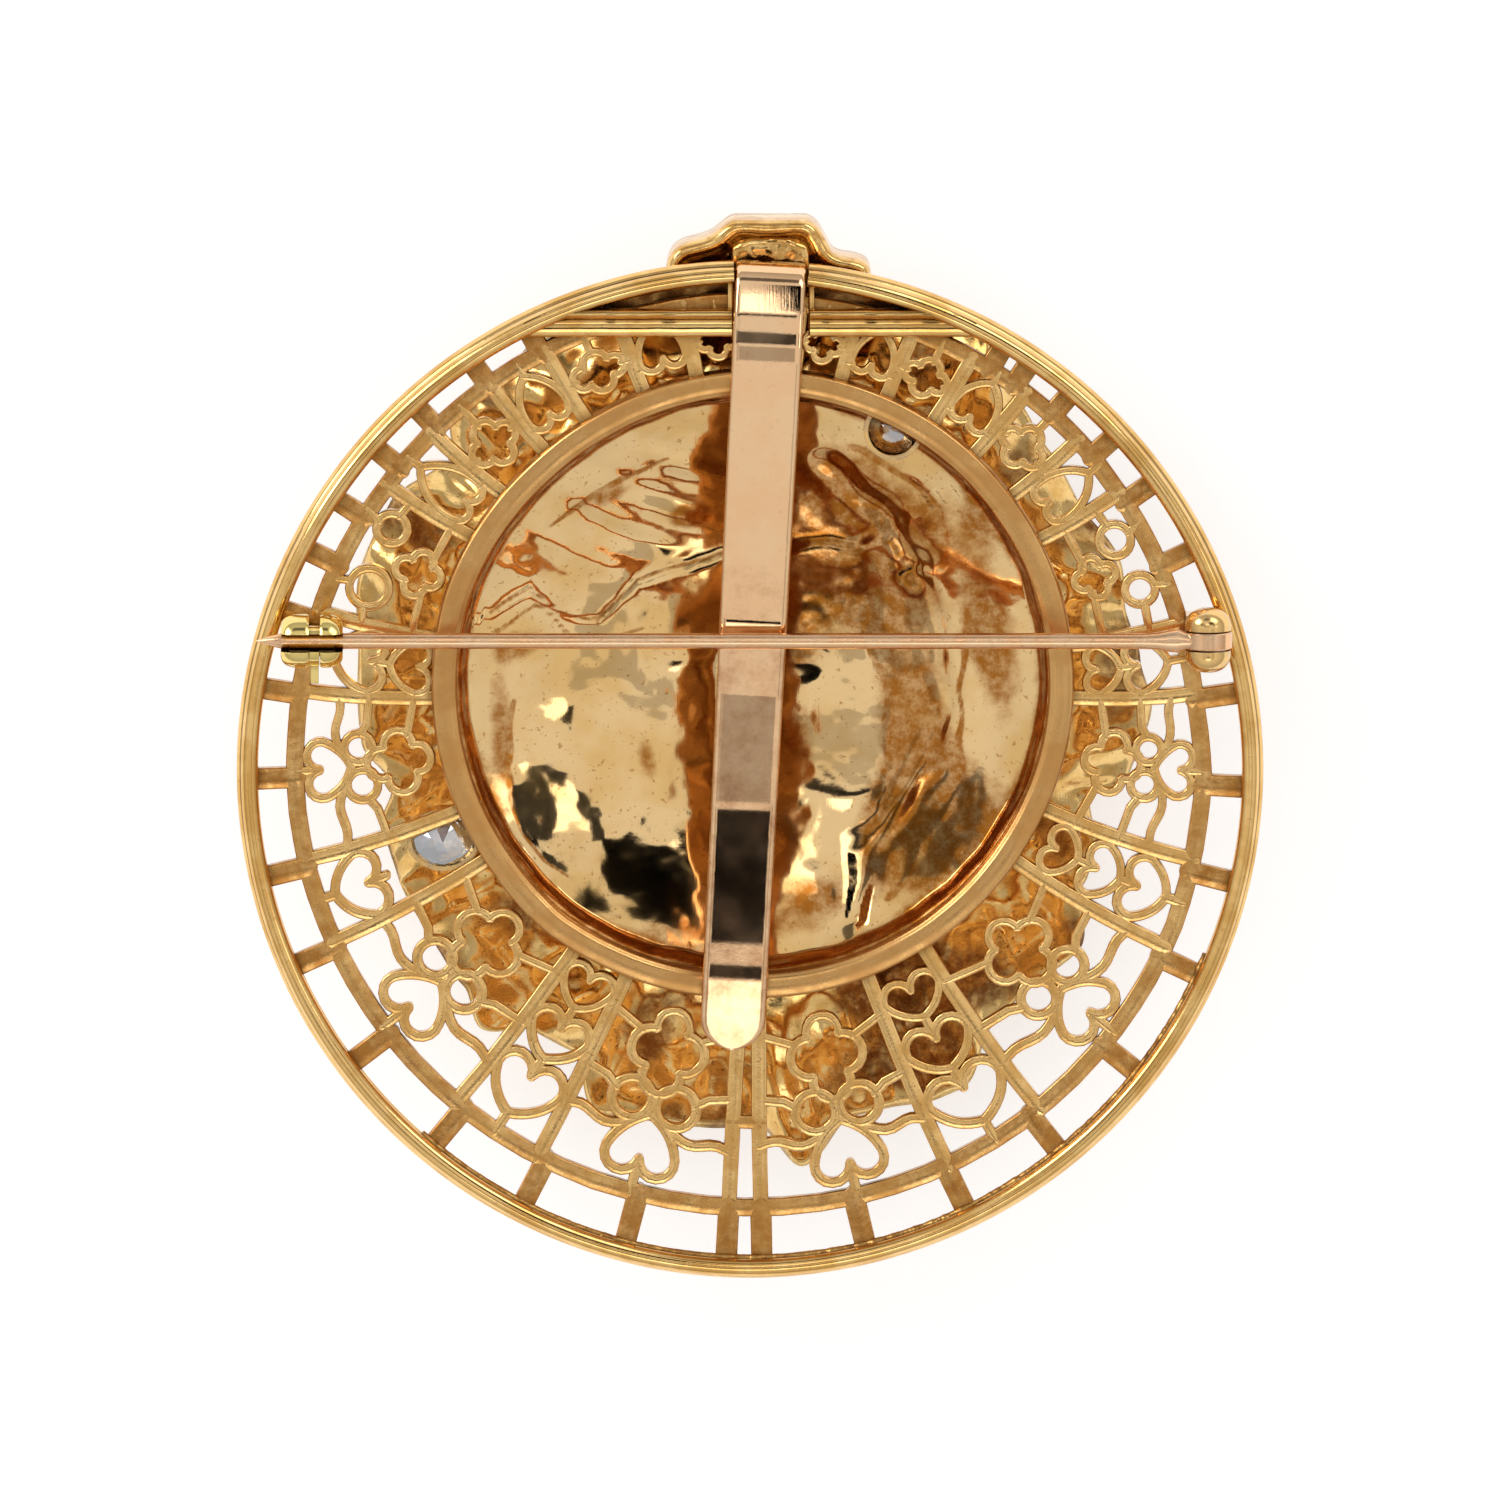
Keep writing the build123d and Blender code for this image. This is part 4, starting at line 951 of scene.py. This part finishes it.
def make_tongue():
    """The clip's flat strip: up from its mount, over the rim and down the back to a round end."""
    bend, last_turn = TONGUE_BEND, math.radians(90 + TONGUE_SLOPES[0][1])
    y, z = CLIP_BACK - bend + bend * math.cos(last_turn), 0.0
    flat = [(y, z)]
    ends = TONGUE_END + TONGUE_HALF[0] * (1 - np.sin(np.radians(np.arange(0, 91, 7.5))))[::-1]
    stops = np.concatenate([np.arange(y - 0.1, ends[0], -0.1), ends])
    for stop in sorted(set(stops.tolist()), reverse=True):
        slope = np.interp(0.5 * (y + stop), *zip(*TONGUE_SLOPES[::-1]))
        y, z = stop, z - (y - stop) * math.tan(math.radians(slope))
        flat.append((y, z))
    lift = CLIP_Z - np.interp(20.0, *zip(*flat[::-1]))
    centre_z = lift - bend * math.sin(last_turn)
    path = [(CLIP_BACK, z) for z in np.linspace(CLIP_FOOT, centre_z, 8)]
    path += [(CLIP_BACK - bend + bend * math.cos(turn), centre_z + bend * math.sin(turn))
             for turn in np.linspace(0, last_turn, 14)[1:-1]]
    path = np.array(path + [(y, z + lift) for y, z in flat])
    low, high = TONGUE_HALF
    left = path[:, 0] - TONGUE_END
    round_end = np.maximum(0.04, np.sqrt(np.maximum(0.0, low ** 2 - (low - left) ** 2)))
    widths = np.where(left > low, low + (high - low) * smooth(-8.0, 24.0, path[:, 0]), round_end)
    thick = TONGUE_THICK
    c, s = math.cos(-CLIP_LEAN), math.sin(-CLIP_LEAN)
    sections = []
    for (y, z), (ny, nz), reach in zip(path, sideways(path, False), widths):
        soft = min(0.2, 0.45 * reach)
        side = [(reach - 1.9 * soft, thick), (reach - 1.2 * soft, thick - 0.04 * soft),
                (reach - 0.6 * soft, thick - 0.2 * soft), (reach - 0.2 * soft, thick - 0.5 * soft),
                (reach, thick - soft), (reach, -thick + soft), (reach - soft, -thick)]
        section = []
        for u, v in both_sides(side, (0, thick + 0.008)):
            along = y + ny * v - CLIP_BACK
            section.append((CLIP_X + c * u - s * along, CLIP_BACK + s * u + c * along, z + nz * v))
        sections.append(section)
    shape = loft(sections)
    # Painted shade: the faces on the strip's underside take the darker copy of the gold.
    under = [int(len(face) == 4 and min(vertex % len(section) for vertex in face) >= 12) for face in shape[1]]
    # Darker towards the strip's lower end, from y 20 down to y 4 and on to its end.
    stain_and_shade = np.repeat(0.34 * (1 - smooth(4.0, 20.0, path[:, 0])), len(section))
    add_piece("clip_tongue", shape, [tongue_gold, tongue_underside_shaded], replaces=["spring_tongue"],
              crease=60, indices=under, tarnish_and_shade=stain_and_shade)


def stone_mesh(x, y, girdle, length, width):
    """A brilliant with its point up: mains and halves to the point, a thin girdle, and a crown under it."""
    depth, crown, band = 0.27 * width, 0.16 * width, 0.05 * width

    def ring(count, share, z, shift=0.0):
        turns = [math.tau * (index + shift) / count for index in range(count)]
        return [(x + 0.5 * length * share * math.cos(turn), y + 0.5 * width * share * math.sin(turn), z)
                for turn in turns]

    points = ring(8, 0.56, girdle - crown) + ring(8, 0.80, girdle - 0.55 * crown, 0.5)
    points += ring(16, 1.0, girdle) + ring(16, 1.0, girdle + band)
    points += ring(8, 0.42, girdle + band + 0.60 * depth, 0.5)
    points.append((x, y, girdle + band + depth))
    table, star, low, high, halves, tip = 0, 8, 16, 32, 48, 56
    faces = [list(range(8))[::-1]]
    for index in range(8):
        nxt = (index + 1) % 8
        g0, g1, g2 = 2 * index, 2 * index + 1, (2 * index + 2) % 16
        faces += [[table + index, table + nxt, star + index], [table + index, star + index, low + g0],
                  [table + nxt, low + g2, star + index], [star + index, low + g1, low + g0],
                  [star + index, low + g2, low + g1]]
        faces += [[low + g0, low + g1, high + g1, high + g0], [low + g1, low + g2, high + g2, high + g1]]
        faces += [[high + g0, high + g1, halves + index], [high + g1, high + g2, halves + index]]
        before = (index - 1) % 8
        faces.append([high + g0, halves + index, tip, halves + before])
    return points, faces


# columns: name, x and y from the rim's centre, level of the girdle, length, width
STONES = [("left", -15.36, -3.56, 9.45, 3.15, 2.75), ("right", 7.153, 17.001, 7.90, 2.4, 2.4)]


def make_stones():
    for name, x, y, girdle, length, width in STONES:
        piece = add_piece(f"stone_{name}", stone_mesh(x, y, girdle, length, width), [diamond_clear],
                          replaces=[f"diamond_{name}"], crease=180)
        piece.data.shade_flat()


def ball_section(x, outer, inner):
    """Section of the catch at one place along the pin, open upward."""
    edges = [math.asin(min(0.99, MOUTH_HALF / reach)) for reach in (outer, inner)]
    wall = [(outer, turn) for turn in np.linspace(edges[0], math.tau - edges[0], 36)]
    wall += [(inner, turn) for turn in np.linspace(math.tau - edges[1], edges[1], 20)]
    return [(x, PIN_Y + 1.07 * reach * math.sin(turn), PIN_Z + reach * math.cos(turn)) for reach, turn in wall]


def make_catch():
    """The catch's housing: a ball of two halves with a slot between them, on a flat foot."""
    shapes = []
    low, high = CATCH_X - CATCH_HALF, CATCH_X + CATCH_HALF
    for slot, end in ((LEVER_X - SLOT_GAP, low), (LEVER_X + SLOT_GAP, high)):
        sections = []
        for x in np.linspace(min(slot, end), max(slot, end), 26):
            depth = min(1.0, min(x - low, high - x) / 0.85)
            outer = 0.76 + 0.50 * math.sqrt(max(0.0, 1 - (1 - depth) ** 2))
            groove = 0.05 * math.exp(-((slot - x) / 0.07) ** 2)
            inner = 0.82 if min(x - low, high - x) > 0.36 else 0.45
            sections.append(ball_section(x, outer - groove, inner))
        shapes.append(loft(sections))
    foot = [(CATCH_X - 1.0, PIN_Y), (CATCH_X + 1.1, PIN_Y)]
    shapes.append(strip(foot, 1.1, SHEET[1] + 0.06, PIN_Z - 1.02, 0.1))
    add_piece("catch_ball", join(shapes), [catch_gold], replaces=["catch_housing"],
              crease=50)


# columns: place along X, half width and half height of the pin's section
PIN_STATIONS = [(-24.62, 0.03, 0.03), (-24.5, 0.08, 0.08), (-23.9, 0.25, 0.25), (-23.5, 0.36, 0.36),
                (-23.3, 0.395, 0.395), (-22.8, 0.40, 0.40), (0.0, 0.40, 0.40), (19.6, 0.40, 0.40),
                (20.3, 0.43, 0.41), (20.9, 0.55, 0.42), (21.3, 0.60, 0.42), (21.7, 0.46, 0.44),
                (22.1, 0.43, 0.46), (22.5, 0.42, 0.42)]


def make_pin():
    """The pin: a round stem with a long point, a flared shoulder and an eye round the rivet."""
    stem = [[(x, PIN_Y + half_y * math.cos(turn), PIN_Z + half_z * math.sin(turn))
             for turn in np.linspace(0, math.tau, 28, endpoint=False)] for x, half_y, half_z in PIN_STATIONS]
    profile = [(EYE_HOLE, -EYE_HALF), (EYE_RADIUS - EYE_EDGE, -EYE_HALF), (EYE_RADIUS, EYE_EDGE - EYE_HALF),
               (EYE_RADIUS, EYE_HALF - EYE_EDGE), (EYE_RADIUS - EYE_EDGE, EYE_HALF), (EYE_HOLE, EYE_HALF)]
    eye = [[(HINGE_X + r * math.cos(turn), PIN_Y + v, HINGE_Z + r * math.sin(turn)) for r, v in profile]
           for turn in np.linspace(0, math.tau, 48, endpoint=False)]
    add_piece("pin_rod", join([loft(stem), loft(eye, True)]), [pin_gold], body="pin", replaces=["pin_stem"])


def finish_cad_nodes():
    """Materials for the CAD pieces that stay."""
    finishes = {"hinge_block": hinge_gold, "hinge_rivet": hinge_gold, "catch_rotor": catch_gold,
                "collet_left": hinge_gold, "collet_right": hinge_gold}
    for node, material in finishes.items():
        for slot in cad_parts[node].material_slots:
            slot.material = material


# Camera, light and floor

CAMERA_REACH = 1.2
FRAME_WIDTH = 0.075
CAMERA_TILT = math.radians(7.5)
SENSOR = 36
FLOOR_HALF = 6


def make_camera():
    data = bpy.data.cameras.new("camera")
    data.sensor_width = SENSOR
    data.lens = SENSOR * CAMERA_REACH / FRAME_WIDTH
    data.clip_start = 0.01
    camera = new_object("camera", data)
    target = Vector((0.0, (RIM_Y + 1.1) * MM, 10 * MM))
    camera.location = target + CAMERA_REACH * Vector((0, math.sin(CAMERA_TILT), math.cos(CAMERA_TILT)))
    camera.rotation_euler = (-CAMERA_TILT, 0, 0)
    bpy.context.scene.camera = camera


def make_lamp(name, place, size, power):
    """A soft lamp that faces the brooch."""
    data = bpy.data.lights.new(name, "AREA")
    data.shape = "RECTANGLE"
    data.size, data.size_y = size
    data.energy = power
    lamp = new_object(name, data)
    lamp.location = place
    lamp.rotation_euler = (Vector((0, 0, 0.01)) - lamp.location).to_track_quat("-Z", "Y").to_euler()


# columns: direction of a patch from straight up toward +X and +Y in degrees, half width, half height, and how
# much darker it is than the tent (below 0, brighter)
PATCHES = [(0.0, -14.0, 9.0, 4.0, 1.0), (0.0, 2.6, 7.0, 2.6, 0.50), (0.0, -27.0, 11.0, 6.0, -1.7),
           (-7.0, 13.5, 16.0, 2.0, 0.97), (-1.0, 21.5, 10.0, 3.5, -1.7), (17.0, 28.0, 14.0, 8.5, 1.0),
           (41.0, 11.0, 5.0, 6.0, -1.7), (32.0, 15.0, 4.0, 6.0, 0.95), (-31.0, 22.0, 7.0, 10.0, 0.75),
           (-8.0, 55.0, 24.0, 7.0, 0.8), (-15.0, 4.0, 7.0, 5.0, 0.34), (-20.0, -20.0, 7.0, 12.0, 0.38),
           (23.0, -16.0, 7.0, 12.0, 0.36)]


def make_world():
    """A white tent with a few dark gaps and bright panels."""
    world = bpy.data.worlds.new("tent")
    world.use_nodes = True
    tree = world.node_tree
    tree.nodes.clear()
    where = add_node(tree, "TexCoord", {})
    east, north, up = add_node(tree, "SeparateXYZ", {0: where.outputs["Generated"]}).outputs

    def value(kind, *parts):
        return add_node(tree, "Math", dict(enumerate(parts)), operation=kind).outputs[0]

    east, north = [value("MULTIPLY", value("ARCTAN2", axis, up), 180 / math.pi) for axis in (east, north)]
    light = 1.0
    for x, y, half_x, half_y, depth in PATCHES:
        across = value("ABSOLUTE", value("MULTIPLY_ADD", east, 1 / half_x, -x / half_x))
        along = value("ABSOLUTE", value("MULTIPLY_ADD", north, 1 / half_y, -y / half_y))
        inside = value("LESS_THAN", value("MAXIMUM", across, along), 1.0)
        light = value("MULTIPLY", light, value("MULTIPLY_ADD", inside, -depth, 1.0))
    span = {"Value": up, "From Min": -0.1, "From Max": 0.8, "To Min": 0.40, "To Max": 0.85}
    fade = add_node(tree, "MapRange", span)
    sockets = {"Color": (1.0, 0.985, 0.96, 1.0), "Strength": value("MULTIPLY", light, fade.outputs[0])}
    background = add_node(tree, "Background", sockets)
    add_node(tree, "OutputWorld", {0: background.outputs[0]})
    bpy.context.scene.world = world


def make_floor():
    """A white sheet that glows a little, as over a light table."""
    mesh = bpy.data.meshes.new("floor")
    corners = [(FLOOR_HALF * x, FLOOR_HALF * y, 0) for x, y in ((-1, -1), (1, -1), (1, 1), (-1, 1))]
    mesh.from_pydata(corners, [], [(0, 1, 2, 3)])
    floor = new_object("floor", mesh)
    shader = Shader("floor_white")
    tone = shader.ramp(shader.noise(0.02, 2), 0.3, 0.7)
    shader.feed(Base_Color=shader.mix(tone, (0.58, 0.58, 0.58), (0.60, 0.60, 0.60)), Roughness=0.9,
                Emission_Color=(1, 1, 1, 1), Emission_Strength=0.605)
    mesh.materials.append(shader.material)


make_gallery()
make_rim()
make_crest()
make_ring()
make_bowl()
make_hair()
make_tongue()
make_stones()
make_catch()
make_pin()
finish_cad_nodes()
make_camera()
make_world()
make_floor()
make_lamp("soft_left", (-0.47, 0.36, 0.30), (0.30, 0.30), 1.4)
make_lamp("soft_right", (0.26, 0.38, 0.30), (0.30, 0.20), 0.4)
bpy.context.scene.view_settings.view_transform = "Standard"
